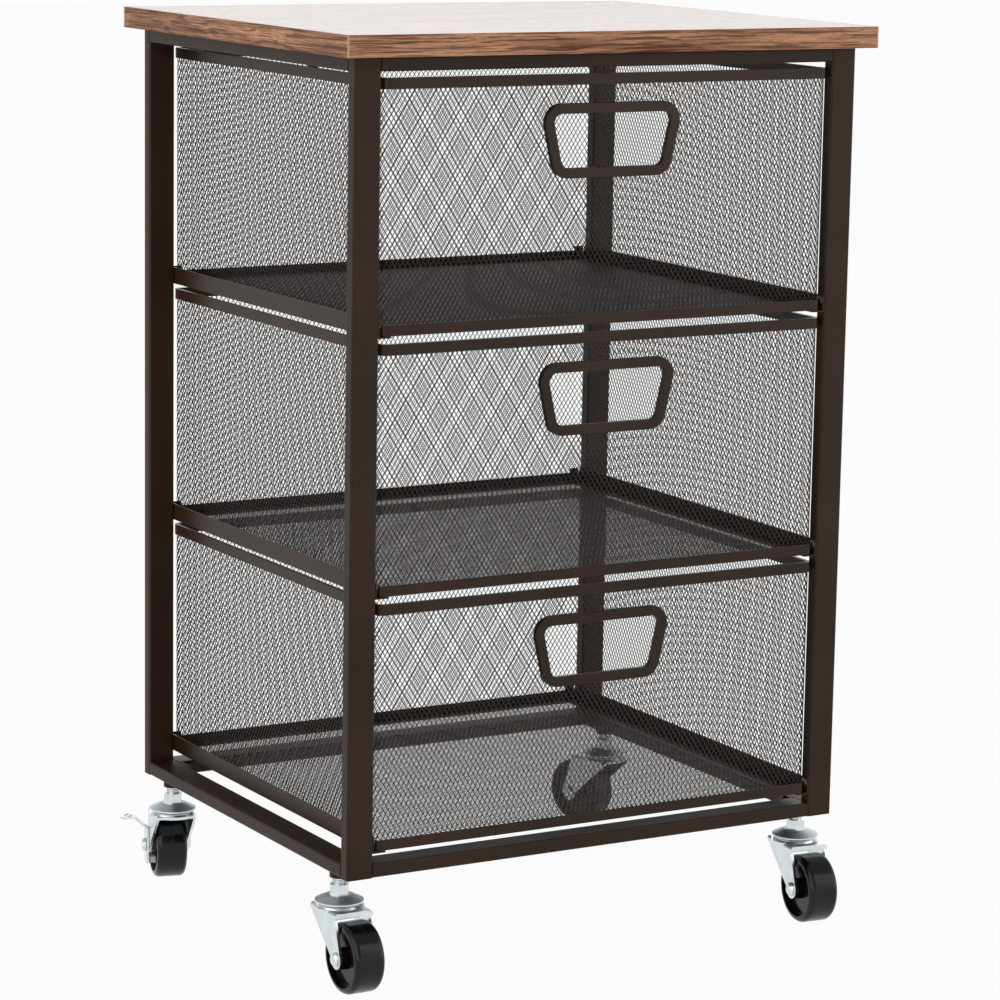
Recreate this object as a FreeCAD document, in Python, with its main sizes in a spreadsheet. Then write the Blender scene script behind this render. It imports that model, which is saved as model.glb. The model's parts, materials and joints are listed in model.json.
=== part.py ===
import FreeCAD, Part
import math
import os
import re
import Sketcher
from FreeCAD import Placement, Rotation, Vector

# Rolling storage cart: a welded tube frame with a wood-look top, three mesh drawers on angle runners
# and four swivel casters. The front faces -Y, +Z is up, and the origin is on the floor below the centre.

# Driving dimensions, in millimetres, and in degrees where the note says so
SIZES = (
    ("DrawerWidth", 355.6, "drawer, outside of the rims"),
    ("DrawerDepth", 328.3, "drawer, outside of the rims"),
    ("DrawerHeight", 172, "drawer, foot to upper rim"),
    ("DrawerRound", 6, "upright corners of the drawer"),
    ("DrawerHeadroom", 4.2, "gap above each drawer"),
    ("DrawerSideRoom", 0.4, "gap between a drawer and the runner screws"),
    ("DrawerRearRoom", 0.4, "gap between a drawer and the runners' stops"),
    ("DrawerRecess", 0.5, "drawer front behind the front face of the posts"),
    ("DrawerRest", 0.3, "drawer above the runner's shelf"),
    ("MeshSheet", 1, "thickness of the mesh sheet"),
    ("MeshStrand", 3.6, "strand between the diamonds of the mesh"),
    ("RimSheet", 0.8, "thickness of the rim strips"),
    ("TopRimHeight", 7.5, "folded rim at the top of a drawer"),
    ("BottomRimHeight", 7.5, "strip around the foot of a drawer"),
    ("BottomRimShelf", 12, "inward shelf of the bottom rim"),
    ("SheetFit", 0.1, "play between mesh, rims and handle"),
    ("HandleTopWidth", 114, "handle ring, upper edge between square corners"),
    ("HandleBottomWidth", 91, "handle ring, lower edge between square corners"),
    ("HandleHeight", 51, "handle ring"),
    ("HandleBand", 7, "width of the handle's band"),
    ("HandleRound", 6, "inner corners of the handle ring"),
    ("HandleSheet", 1.5, "thickness of each handle plate"),
    ("HandleNeck", 1.2, "wall of the neck that lines the finger hole"),
    ("HandleEase", 0.5, "eased edges of the handle's front"),
    ("HandleDrop", 20, "handle below the drawer's upper rim"),
    ("TubeWide", 20, "wide side of the frame tube"),
    ("TubeNarrow", 10, "narrow side of the frame tube"),
    ("TubeWall", 1.2, "wall of the frame tube"),
    ("TubeRound", 1.6, "outer corners of the frame tube"),
    ("FootRoom", 7, "gap between the foot rails and the lowest runner"),
    ("RunnerSheet", 1, "thickness of a runner"),
    ("RunnerRise", 12, "height of a runner's wall"),
    ("RunnerShelf", 10, "width of a runner's shelf"),
    ("RunnerInset", 0.5, "runner ends behind the faces of the posts"),
    ("StopGap", 0.4, "gap between a runner's stop and the rear screw"),
    ("ScrewRadius", 1.75, "runner screw, shank"),
    ("ScrewTip", 5.6, "runner screw beyond the post's wall"),
    ("ScrewHeadRadius", 3.2, "runner screw, head"),
    ("ScrewHeadHeight", 0.8, "runner screw, head"),
    ("ScrewHeight", 8, "runner screw above the runner's foot"),
    ("FastenerFit", 0.15, "radial play of screws and bolts in their holes"),
    ("TabSheet", 2, "end tab of a cross rail"),
    ("TabLength", 18, "end tab behind its cross rail"),
    ("BoltRadius", 2.5, "frame bolt, shank"),
    ("BoltTip", 1.8, "frame bolt beyond the side rail's wall"),
    ("BoltHeadRadius", 4, "frame bolt, head"),
    ("BoltHeadHeight", 2.6, "frame bolt, head"),
    ("TopOverhang", 11, "board beyond the frame on every side"),
    ("TopThickness", 15, "board"),
    ("BandSheet", 1, "thickness of the edge bands"),
    ("BandEase", 0.4, "eased outer edges of the edge bands"),
    ("BoardScrewRadius", 2, "board screw, shank"),
    ("BoardScrewHeadRadius", 3.6, "board screw, head"),
    ("BoardScrewHeadHeight", 2.2, "board screw, head"),
    ("BoardScrewSkin", 5, "board left above the screw tips"),
    ("BoardScrewInset", 70, "board screw from the end of a side rail"),
    ("StemInset", 30, "stem axis behind the face of the posts"),
    ("BossRadius", 7, "threaded boss below a foot rail"),
    ("BossHeight", 5, "threaded boss below a foot rail"),
    ("StudRadius", 4.5, "stud of the caster stem"),
    ("StudShow", 5, "stud between boss and hex"),
    ("StudTipGap", 1.8, "gap between the stud's tip and the foot rail's upper wall"),
    ("HexHeight", 7, "hex of the stem"),
    ("HexRadius", 7.3, "hex of the stem, to its corners"),
    ("DishRadius", 17, "upper race"),
    ("DishFlat", 8.5, "flat crown of the upper race, radius"),
    ("DishRise", 4, "cone of the upper race"),
    ("DishLip", 1, "upright lip of the upper race"),
    ("DishEase", 3, "rounded crown of the upper race"),
    ("DishSkirt", 1.5, "wall of the upper race's skirt"),
    ("DishGap", 1, "gap between the upper race and the fork's race"),
    ("KingPinRadius", 4, "king pin"),
    ("KingPinHeadRadius", 6, "peened head of the king pin"),
    ("KingPinHeadHeight", 1.2, "peened head of the king pin"),
    ("RunningFit", 0.08, "radial play of pins and shafts"),
    ("BallRadius", 1.5, "bearing ball"),
    ("TrackInset", 4, "ring of balls inside the upper race's skirt"),
    ("BallFit", 0.05, "play of the balls in their track"),
    ("RaceStep", 1, "fork's race inside the edge of the fork's plate"),
    ("RaceSlope", 1.5, "fork's race draws in by this much"),
    ("RaceHeight", 2, "fork's race above the fork's plate"),
    ("ForkCrownRadius", 17.5, "round plate of the fork"),
    ("ForkSheet", 2, "fork sheet"),
    ("ForkLip", 2, "fork's front lip below its plate"),
    ("ForkBend", 2.5, "bend between the fork's plate and its legs"),
    ("ForkEyeRadius", 7, "round end of a fork leg"),
    ("ForkFront", 22, "fork's front lip ahead of the stem axis"),
    ("ForkHeel", 15, "fork leg behind the stem at the plate"),
    ("ForkShoulder", 7, "upright stretch of a fork leg's rear edge"),
    ("WheelRadius", 25, "wheel"),
    ("WheelWidth", 23, "wheel, over the tread"),
    ("WheelTopGap", 2, "gap between the tread and the fork's lip"),
    ("WheelSideGap", 1.5, "gap between the tread's sides and the fork legs"),
    ("TreadRound", 4, "shoulders of the tread"),
    ("RimRing", 4.5, "ring of the wheel's side around its recess"),
    ("RecessDepth", 4.5, "recess in the wheel's sides"),
    ("RecessDraft", 1, "draft of the recess and the hub"),
    ("HubRadius", 7, "wheel hub"),
    ("HubGap", 0.5, "gap between the hub and a fork leg"),
    ("AxleRadius", 3, "axle"),
    ("AxleHeadRadius", 5, "axle heads"),
    ("AxleHeadHeight", 2.2, "axle heads"),
    ("AxleHeadEase", 1.2, "chamfer of the axle heads"),
    ("Trail", 24, "wheel axis behind the stem axis"),
    ("LeverSheet", 1.5, "brake lever"),
    ("LeverWidth", 12, "brake lever"),
    ("LeverGap", 0.3, "play on both sides of the brake lever"),
    ("LeverFoot", 13.5, "brake lever below the axle"),
    ("LeverBend", 13, "brake lever's bend above the axle"),
    ("LeverTop", 22, "pedal above the axle"),
    ("LeverReach", 11, "sloped arm of the brake lever"),
    ("PedalReach", 21, "pedal's end beyond the fork leg"),
    ("ShoeHeight", 4.6, "brake shoe"),
    ("ShoeWidth", 8, "brake shoe"),
    ("ShoeReach", 5.5, "brake shoe, from the lever towards the wheel"),
    ("FrontLeftTurn", 0, "swivel at rest, degrees"),
    ("FrontRightTurn", -6, "swivel at rest, degrees"),
    ("RearLeftTurn", 165, "swivel at rest, degrees"),
    ("RearRightTurn", -165, "swivel at rest, degrees"),
    ("CutOverrun", 5, "how far cutting shapes run past what they cut"),
)
BALLS_PER_RACE = 12
MESH_COLUMNS = 12
DIAMOND_TALL_SHARE = 1.4
WHOLE_DIAMOND_SHARE = 0.2
BEND_SHARE = 0.4
PEDAL_ROUND_SHARE = 0.42
HEX_SIDES = 6
DRAWERS = ("bottom", "middle", "top")
SIDES = (("left", -1), ("right", 1))
ENDS = (("front", -1), ("rear", 1))

# Sizes that follow from the driving dimensions, as formulas
RIM_CHANNEL = "(2 * RimSheet + MeshSheet + 2 * SheetFit)"
WALL_WIDTH = "(DrawerWidth - 2 * DrawerRound)"
WALL_DEPTH = "(DrawerDepth - 2 * DrawerRound)"
WALL_HEIGHT = "(DrawerHeight - TopRimHeight - BottomRimHeight)"
RUNNER_PITCH = "(RunnerSheet + DrawerRest + DrawerHeight + DrawerHeadroom)"
FRAME_WIDTH = "(DrawerWidth + 2 * (DrawerSideRoom + ScrewHeadHeight + RunnerSheet + TubeWide))"
FRAME_DEPTH = "(DrawerRecess + DrawerDepth + DrawerRearRoom + RunnerSheet + RunnerInset)"
POST_HEIGHT = f"(2 * TubeNarrow + FootRoom + {len(DRAWERS)} * {RUNNER_PITCH})"
INNER_HALF = f"({FRAME_WIDTH} / 2 - TubeWide)"
STEM_X = f"({FRAME_WIDTH} / 2 - TubeWide / 2)"
STEM_Y = f"({FRAME_DEPTH} / 2 - StemInset)"
LIP_BOTTOM = "(2 * WheelRadius + WheelTopGap)"
PLATE_BOTTOM = f"({LIP_BOTTOM} + ForkLip)"
PLATE_TOP = f"({PLATE_BOTTOM} + ForkSheet)"
RACE_TOP = f"({PLATE_TOP} + RaceHeight)"
DISH_BOTTOM = f"({RACE_TOP} + DishGap)"
DISH_TOP = f"({DISH_BOTTOM} + DishLip + DishRise)"
HEX_TOP = f"({DISH_TOP} + HexHeight)"
FRAME_BOTTOM = f"({HEX_TOP} + StudShow + BossHeight)"
FRAME_TOP = f"({FRAME_BOTTOM} + {POST_HEIGHT})"
FOOT_RAIL_TOP = f"({FRAME_BOTTOM} + TubeNarrow)"
TOP_RAIL_BOTTOM = f"({FRAME_TOP} - TubeNarrow)"
FORK_INNER = "(WheelWidth / 2 + WheelSideGap)"
FORK_OUTER = f"({FORK_INNER} + ForkSheet)"
DRAWER_Y = f"(DrawerRecess + DrawerDepth / 2 - {FRAME_DEPTH} / 2)"
MESH_FRONT = "(DrawerDepth / 2 - RimSheet - SheetFit)"
POST_Y = f"({FRAME_DEPTH} / 2 - TubeNarrow / 2)"
BOLT_Y = f"({FRAME_DEPTH} / 2 - TubeWide - TabLength / 2)"
BOARD_SCREW_Y = f"({FRAME_DEPTH} / 2 - TubeNarrow - BoardScrewInset)"
BALL_TRACK = "(DishRadius - DishSkirt - TrackInset)"
GROOVE_DEPTH = "(BallRadius / 3)"
BALL_Z = f"({RACE_TOP} - {GROOVE_DEPTH} + BallFit + BallRadius)"
RACE_RADIUS = "(ForkCrownRadius - RaceStep)"

doc = FreeCAD.newDocument("rolling_storage_cart")
sheet = doc.addObject("Spreadsheet::Sheet", "Sizes")
for row, (alias, size, note) in enumerate(SIZES, 1):
    sheet.set(f"A{row}", note)
    sheet.set(f"B{row}", str(size))
    sheet.setAlias(f"B{row}", alias)
doc.recompute()
nodes = {}


def value(formula):
    """Number that a formula of sheet names gives now."""
    return float(sheet.evalExpression(str(formula)))


def point(formulas):
    return Vector(*[value(formula) for formula in formulas])


def bind(target, name, formula):
    """Tie one property of an object to a formula of sheet names."""
    target.setExpression(name, re.sub(r"\b[A-Z]\w+", r"Sizes.\g<0>", str(formula)))


def place(target, x=0, y=0, z=0, turn=None):
    """Tie an object's place, and its turn about Z in degrees, to formulas."""
    for axis, formula in zip("xyz", (x, y, z)):
        bind(target, f"Placement.Base.{axis}", formula)
    if turn is not None:
        target.Placement.Rotation = Rotation(Vector(0, 0, 1), value(turn))
        bind(target, "Placement.Rotation.Angle", turn)


def keep(target, label):
    """Name a finished sub-part."""
    target.Label = label
    nodes[label] = target
    return target


def new_body(name):
    return doc.addObject("PartDesign::Body", name)


def sketch_in(body, role, offset=(0, 0, 0)):
    """Sketch on one of the body's own origin planes, shifted in the plane and along its normal."""
    sketch = body.newObject("Sketcher::SketchObject", "Sketch")
    plane = next(item for item in body.Origin.OriginFeatures if item.Role == role)
    sketch.AttachmentSupport = (plane, [""])
    sketch.MapMode = "FlatFace"
    for axis, formula in zip("xyz", offset):
        bind(sketch, f"AttachmentOffset.Base.{axis}", formula)
    return sketch


def fix_point(sketch, geometry, position, x, y):
    """Hold a point of the sketch at formulas from the sketch's origin."""
    for kind, formula in (("DistanceX", x), ("DistanceY", y)):
        rule = Sketcher.Constraint(kind, -1, 1, geometry, position, value(formula))
        bind(sketch, f"Constraints[{sketch.addConstraint(rule)}]", formula)


def polygon(sketch, corners):
    """Closed outline of straight edges between corners given as formulas."""
    points = [Vector(value(x), value(y), 0) for x, y in corners]
    first = sketch.GeometryCount
    count = len(points)
    for index in range(count):
        sketch.addGeometry(Part.LineSegment(points[index], points[(index + 1) % count]), False)
    for index in range(count):
        following = first + (index + 1) % count
        sketch.addConstraint(Sketcher.Constraint("Coincident", first + index, 2, following, 1))
    for index, (x, y) in enumerate(corners):
        fix_point(sketch, first + index, 1, x, y)


def rounded_polygon(sketch, corners, radius):
    """Closed outline whose corners, given as formulas, are rounded by one radius."""
    points = [Vector(value(x), value(y), 0) for x, y in corners]
    size = value(radius)
    count = len(points)
    first = sketch.GeometryCount
    entries = []
    exits = []
    middles = []
    for index, point in enumerate(points):
        back = (points[index - 1] - point).normalize()
        ahead = (points[(index + 1) % count] - point).normalize()
        half = back.getAngle(ahead) / 2
        centre = point + (back + ahead).normalize() * (size / math.sin(half))
        entries.append(point + back * (size / math.tan(half)))
        exits.append(point + ahead * (size / math.tan(half)))
        middles.append(centre + (point - centre).normalize() * size)
    for index in range(count):
        sketch.addGeometry(Part.LineSegment(exits[index], entries[(index + 1) % count]), False)
    for index in range(count):
        sketch.addGeometry(Part.Arc(entries[index], middles[index], exits[index]), False)
    for index in range(count):
        arc = first + count + index
        before = first + (index - 1) % count
        ends = [sketch.getPoint(arc, 1), sketch.getPoint(arc, 2)]
        start = 1 if ends[0].distanceToPoint(entries[index]) < ends[1].distanceToPoint(entries[index]) else 2
        sketch.addConstraint(Sketcher.Constraint("Tangent", before, 2, arc, start))
        sketch.addConstraint(Sketcher.Constraint("Tangent", first + index, 1, arc, 3 - start))
        if index:
            sketch.addConstraint(Sketcher.Constraint("Equal", first + count, arc))
        else:
            rule = sketch.addConstraint(Sketcher.Constraint("Radius", arc, size))
            bind(sketch, f"Constraints[{rule}]", radius)
    for index, (x, y) in enumerate(corners):
        corner = sketch.addGeometry(Part.Point(points[index]), True)
        for line in (first + index, first + (index - 1) % count):
            sketch.addConstraint(Sketcher.Constraint("PointOnObject", corner, 1, line))
        fix_point(sketch, corner, 1, x, y)


def circle(sketch, radius, x=0, y=0):
    """Circle with its centre and radius given as formulas."""
    place_of = Vector(value(x), value(y), 0)
    index = sketch.addGeometry(Part.Circle(place_of, Vector(0, 0, 1), value(radius)), False)
    fix_point(sketch, index, 3, x, y)
    rule = sketch.addConstraint(Sketcher.Constraint("Radius", index, value(radius)))
    bind(sketch, f"Constraints[{rule}]", radius)


def rectangle(x0, y0, x1, y1):
    return [(x0, y0), (x1, y0), (x1, y1), (x0, y1)]


def centred(half_x, half_y):
    return rectangle(f"-({half_x})", f"-({half_y})", half_x, half_y)


def extrude(body, kind, sketch, length, side="One side", backwards=False):
    """Pad or Pocket of a sketch; a pocket has to take material away."""
    before = body.Shape.Volume if kind == "Pocket" else 0
    feature = body.newObject(f"PartDesign::{kind}", kind)
    feature.Profile = sketch
    feature.SideType = side
    feature.Reversed = backwards
    bind(feature, "Length", length)
    doc.recompute()
    if kind == "Pocket" and not body.Shape.Volume < before:
        raise RuntimeError(f"{body.Name}: a pocket cuts nothing")
    return feature


def revolve(body, sketch, axis):
    feature = body.newObject("PartDesign::Revolution", "Revolution")
    feature.Profile = sketch
    feature.ReferenceAxis = (sketch, [axis])
    doc.recompute()
    return feature


def ease(body, radius, wanted):
    """Round those edges of the body's last feature for which wanted(edge) is true."""
    base = body.Tip
    names = [f"Edge{n}" for n, edge in enumerate(base.Shape.Edges, 1) if wanted(edge)]
    feature = body.newObject("PartDesign::Fillet", "Fillet")
    feature.Base = (base, names)
    bind(feature, "Radius", radius)
    doc.recompute()
    return feature


def runs_along(axis):
    """Test for straight edges that run along an axis of the body."""
    def test(edge):
        return edge.Curve.TypeId == "Part::GeomLine" and abs(edge.Curve.Direction.dot(axis)) > 0.999
    return test


def mirror(source, label, normal):
    """Mirror image of a sub-part in a plane through the origin."""
    twin = doc.addObject("Part::Mirroring", label)
    twin.Source = source
    twin.Normal = normal
    return keep(twin, label)


def box(name, size, corner):
    shape = doc.addObject("Part::Box", name)
    for side, formula in zip(("Length", "Width", "Height"), size):
        bind(shape, side, formula)
    place(shape, *corner)
    return shape


def pin(name, radius, length, start, direction):
    """Cylinder from a start point along a direction."""
    shape = doc.addObject("Part::Cylinder", name)
    bind(shape, "Radius", radius)
    bind(shape, "Height", length)
    shape.Placement.Rotation = Rotation(Vector(0, 0, 1), direction)
    place(shape, *start)
    return shape


def fuse(name, shapes):
    whole = doc.addObject("Part::MultiFuse", name)
    whole.Shapes = shapes
    whole.Refine = True
    return whole


def cut(name, base, tools):
    """Base less all the tools."""
    rest = doc.addObject("Part::Cut", name)
    rest.Base = base
    rest.Tool = tools[0] if len(tools) == 1 else fuse(f"{name}_tools", tools)
    return rest


def group(label, shapes):
    """One node of several like solids, copied from modelled shapes."""
    target = doc.addObject("Part::Feature", label)
    target.Shape = Part.makeCompound(shapes)
    target.Placement = Placement()
    return keep(target, label)


def headed_pin(name, head_radius, head_height, radius, length):
    """Screw or bolt along +Z from its head's seat at the origin; the head stands below it."""
    body = new_body(name)
    sketch = sketch_in(body, "XZ_Plane")
    polygon(sketch, [(0, f"-{head_height}"), (head_radius, f"-{head_height}"), (head_radius, 0),
                     (radius, 0), (radius, length), (0, length)])
    revolve(body, sketch, "V_Axis")
    return body


def copies(template, seats):
    """Copies of a +Z fastener at seats given as (place, direction)."""
    shapes = []
    for spot, direction in seats:
        shape = template.Shape.copy()
        shape.Placement = Placement(point(spot), Rotation(Vector(0, 0, 1), direction))
        shapes.append(shape)
    return shapes


def signed(sign, formula):
    return f"{sign} * {formula}"


def tube(name, role, start, half_x, half_y, length):
    """Rectangular tube along the normal of one origin plane, open at its far end, rounded outside."""
    body = new_body(name)
    outer = sketch_in(body, role)
    rounded_polygon(outer, centred(half_x, half_y), "TubeRound")
    extrude(body, "Pad", outer, length)
    inner = sketch_in(body, role, (0, 0, start))
    rounded_polygon(inner, centred(f"({half_x} - TubeWall)", f"({half_y} - TubeWall)"),
                    "max(TubeRound - TubeWall; TubeWall / 4)")
    extrude(body, "Pocket", inner, f"({length} + CutOverrun)", backwards=True)
    return body


def build_posts():
    """Upright tubes, closed at the foot, with holes for the runner screws in their inner faces."""
    post = tube("post", "XY_Plane", "TubeWall", "TubeWide / 2", "TubeNarrow / 2", POST_HEIGHT)
    holes = sketch_in(post, "YZ_Plane")
    for level in range(len(DRAWERS)):
        height = f"{runner_bottom(level)} + ScrewHeight - {FRAME_BOTTOM}"
        circle(holes, "ScrewRadius + FastenerFit", 0, height)
    extrude(post, "Pocket", holes, "TubeWide / 2 + CutOverrun", backwards=True)
    place(post, f"TubeWide / 2 - {FRAME_WIDTH} / 2", f"TubeNarrow / 2 - {FRAME_DEPTH} / 2", FRAME_BOTTOM)
    keep(post, "post_front_left")
    mirror(post, "post_front_right", Vector(1, 0, 0))
    rear = mirror(post, "post_rear_left", Vector(0, 1, 0))
    mirror(rear, "post_rear_right", Vector(1, 0, 0))


def runner_bottom(level):
    return f"({FOOT_RAIL_TOP} + FootRoom + {level} * {RUNNER_PITCH})"


def build_side_rails():
    """Tubes between the posts: bosses and studs below, board screws above, bolt holes on the inside."""
    length = f"({FRAME_DEPTH} - 2 * TubeNarrow)"
    middle = f"TubeWide / 2 - {FRAME_WIDTH} / 2"
    for name, bottom in (("foot", FRAME_BOTTOM), ("top", TOP_RAIL_BOTTOM)):
        rail = tube(f"side_rail_{name}", "XZ_Plane", "-CutOverrun", "TubeWide / 2", "TubeNarrow / 2",
                    length)
        place(rail, middle, f"{length} / 2", f"{bottom} + TubeNarrow / 2")
        tools = []
        for end, sign in ENDS:
            bolt = (f"-{INNER_HALF} + CutOverrun", signed(sign, BOLT_Y), f"{bottom} + TubeNarrow / 2")
            tools.append(pin(f"{name}_{end}_bolt_hole", "BoltRadius + FastenerFit",
                             "TubeWide / 2 + CutOverrun", bolt, Vector(-1, 0, 0)))
            if name == "foot":
                hole = ("StudRadius + FastenerFit", "TubeNarrow / 2 + BossHeight + CutOverrun")
                start = (f"-{STEM_X}", signed(sign, STEM_Y), f"{bottom} - BossHeight - CutOverrun")
            else:
                hole = ("BoardScrewRadius + FastenerFit", "TubeNarrow + 2 * CutOverrun")
                start = (f"-{STEM_X}", signed(sign, BOARD_SCREW_Y), f"{bottom} - CutOverrun")
            tools.append(pin(f"{name}_{end}_hole", *hole, start, Vector(0, 0, 1)))
        base = rail
        if name == "foot":
            bosses = [pin(f"boss_{end}", "BossRadius", "BossHeight",
                          (f"-{STEM_X}", signed(sign, STEM_Y), f"{bottom} - BossHeight"), Vector(0, 0, 1))
                      for end, sign in ENDS]
            base = fuse("foot_rail_with_bosses", [rail] + bosses)
        left = keep(cut(f"side_rail_{name}_left", base, tools), f"{name}_rail_left")
        mirror(left, f"{name}_rail_right", Vector(1, 0, 0))


def build_cross_rails():
    """Front and rear tubes with a welded tab at each end that bolts to the side rail."""
    length = f"(2 * {INNER_HALF})"
    for name, bottom in (("foot", FRAME_BOTTOM), ("top", TOP_RAIL_BOTTOM)):
        rail = tube(f"cross_rail_{name}", "YZ_Plane", "-CutOverrun", "TubeWide / 2", "TubeNarrow / 2",
                    length)
        place(rail, f"-{INNER_HALF}", f"TubeWide / 2 - {FRAME_DEPTH} / 2", f"{bottom} + TubeNarrow / 2")
        tab_y = f"TubeWide - {FRAME_DEPTH} / 2"
        tab = ("TabSheet", "TabLength", "TubeNarrow")
        tabs = [box(f"{name}_tab_left", tab, (f"-{INNER_HALF}", tab_y, bottom)),
                box(f"{name}_tab_right", tab, (f"{INNER_HALF} - TabSheet", tab_y, bottom))]
        tools = []
        for side, sign in SIDES:
            start = (signed(sign, f"({INNER_HALF} - TabSheet - CutOverrun)"), f"-{BOLT_Y}",
                     f"{bottom} + TubeNarrow / 2")
            tools.append(pin(f"{name}_{side}_tab_hole", "BoltRadius + FastenerFit",
                             "TabSheet + 2 * CutOverrun", start, Vector(sign, 0, 0)))
        if name == "top":
            start = (0, f"TubeWide / 2 - {FRAME_DEPTH} / 2", f"{bottom} - CutOverrun")
            tools.append(pin("top_cross_hole", "BoardScrewRadius + FastenerFit",
                             "TubeNarrow + 2 * CutOverrun", start, Vector(0, 0, 1)))
        whole = fuse(f"{name}_cross_with_tabs", [rail] + tabs)
        front = keep(cut(f"{name}_cross", whole, tools), f"{name}_rail_front")
        mirror(front, f"{name}_rail_rear", Vector(0, 1, 0))


def build_board():
    """Board with blind holes for its screws, and the four edge bands around it."""
    half_x = f"({FRAME_WIDTH} / 2 + TopOverhang)"
    half_y = f"({FRAME_DEPTH} / 2 + TopOverhang)"
    core = box("board_core", (f"2 * ({half_x} - BandSheet)", f"2 * ({half_y} - BandSheet)", "TopThickness"),
               (f"BandSheet - {half_x}", f"BandSheet - {half_y}", FRAME_TOP))
    holes = [pin(f"board_hole_{index}", "BoardScrewRadius + FastenerFit",
                 "TopThickness - BoardScrewSkin + FastenerFit + CutOverrun",
                 (x, y, f"{FRAME_TOP} - CutOverrun"), Vector(0, 0, 1))
             for index, (x, y, z) in enumerate(board_screw_seats())]
    keep(cut("board_drilled", core, holes), "wood_top")
    bands = []
    for name, sign in ENDS:
        bands.append(edge_band(f"band_{name}", half_x, "BandSheet / 2",
                               0, signed(sign, f"({half_y} - BandSheet / 2)")))
    for name, sign in SIDES:
        bands.append(edge_band(f"band_{name}", "BandSheet / 2", f"({half_y} - BandSheet)",
                               signed(sign, f"({half_x} - BandSheet / 2)"), 0))
    doc.recompute()
    group("edge_bands", [band.Shape.copy() for band in bands])


def edge_band(name, half_x, half_y, x, y):
    """Strip of band with eased long edges on top and below."""
    body = new_body(name)
    sketch = sketch_in(body, "XY_Plane")
    polygon(sketch, centred(half_x, half_y))
    extrude(body, "Pad", sketch, "TopThickness")
    place(body, x, y, FRAME_TOP)
    along = Vector(1, 0, 0) if value(half_x) > value(half_y) else Vector(0, 1, 0)
    outward = Vector(value(x), value(y), 0).normalize()
    is_long = runs_along(along)
    ease(body, "BandEase", lambda edge: is_long(edge) and edge.CenterOfMass.dot(outward) > 0)
    return body


def board_screw_seats():
    seat_z = TOP_RAIL_BOTTOM
    seats = [(signed(side, STEM_X), signed(end, BOARD_SCREW_Y), seat_z)
             for _, side in SIDES for _, end in ENDS]
    return seats + [(0, signed(end, f"({FRAME_DEPTH} / 2 - TubeWide / 2)"), seat_z) for _, end in ENDS]


def build_fasteners():
    """Runner screws, frame bolts and board screws, each kind as one group of solids."""
    screw = headed_pin("screw_pattern", "ScrewHeadRadius", "ScrewHeadHeight", "ScrewRadius",
                       "RunnerSheet + TubeWall + ScrewTip")
    bolt = headed_pin("bolt_pattern", "BoltHeadRadius", "BoltHeadHeight", "BoltRadius",
                      "TabSheet + TubeWall + BoltTip")
    reach = "(TubeNarrow + TopThickness - BoardScrewSkin)"
    board = headed_pin("board_screw_pattern", "BoardScrewHeadRadius", "BoardScrewHeadHeight",
                       "BoardScrewRadius", reach)
    screws = []
    bolts = []
    for _, side in SIDES:
        outward = Vector(side, 0, 0)
        for _, end in ENDS:
            post_y = signed(end, POST_Y)
            for level in range(len(DRAWERS)):
                seat = (signed(side, f"({INNER_HALF} - RunnerSheet)"), post_y,
                        f"{runner_bottom(level)} + ScrewHeight")
                screws.append((seat, outward))
            for bottom in (FRAME_BOTTOM, TOP_RAIL_BOTTOM):
                seat = (signed(side, f"({INNER_HALF} - TabSheet)"), signed(end, BOLT_Y),
                        f"{bottom} + TubeNarrow / 2")
                bolts.append((seat, outward))
    group("runner_screws", copies(screw, screws))
    group("frame_bolts", copies(bolt, bolts))
    group("board_screws", copies(board, [(seat, Vector(0, 0, 1)) for seat in board_screw_seats()]))


def build_runners():
    """Angle runners with an upturned stop at the rear end and a screw hole at each post."""
    length = f"({FRAME_DEPTH} - 2 * RunnerInset)"
    front = f"-{length} / 2"
    for level, name in enumerate(DRAWERS):
        corner = f"-{INNER_HALF}"
        foot = runner_bottom(level)
        wall = box(f"runner_wall_{name}", ("RunnerSheet", length, "RunnerRise"), (corner, front, foot))
        shelf = box(f"runner_shelf_{name}", ("RunnerShelf", length, "RunnerSheet"), (corner, front, foot))
        relief = "(RunnerSheet + ScrewHeadHeight + StopGap)"
        stop = box(f"runner_stop_{name}", (f"RunnerShelf - {relief}", "RunnerSheet", "RunnerRise"),
                   (f"{corner} + {relief}", f"{length} / 2 - RunnerSheet", foot))
        holes = []
        for end, sign in ENDS:
            start = (f"{corner} - CutOverrun", signed(sign, POST_Y), f"{foot} + ScrewHeight")
            holes.append(pin(f"runner_hole_{name}_{end}", "ScrewRadius + FastenerFit",
                             "RunnerSheet + 2 * CutOverrun", start, Vector(1, 0, 0)))
        angle = fuse(f"runner_angle_{name}", [wall, shelf, stop])
        left = keep(cut(f"runner_{name}", angle, holes), f"runner_{name}_left")
        mirror(left, f"runner_{name}_right", Vector(1, 0, 0))


def drawer_outline(inset):
    return centred(f"(DrawerWidth / 2 - {inset})", f"(DrawerDepth / 2 - {inset})")


def handle_outline(inset):
    """Trapezoid of the handle ring, drawn in by an inset on all four sides."""
    slant = "((HandleTopWidth - HandleBottomWidth) / 2)"
    aside = f"({inset} * sqrt(HandleHeight ^ 2 + {slant} ^ 2) / HandleHeight)"
    shift = f"({slant} * {inset} / HandleHeight)"
    upper = f"(HandleTopWidth / 2 - {shift} - {aside})"
    lower = f"(HandleBottomWidth / 2 + {shift} - {aside})"
    top = f"(DrawerHeight - HandleDrop - {inset})"
    bottom = f"(DrawerHeight - HandleDrop - HandleHeight + {inset})"
    return [(f"-{lower}", bottom), (lower, bottom), (upper, top), (f"-{upper}", top)]


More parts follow.
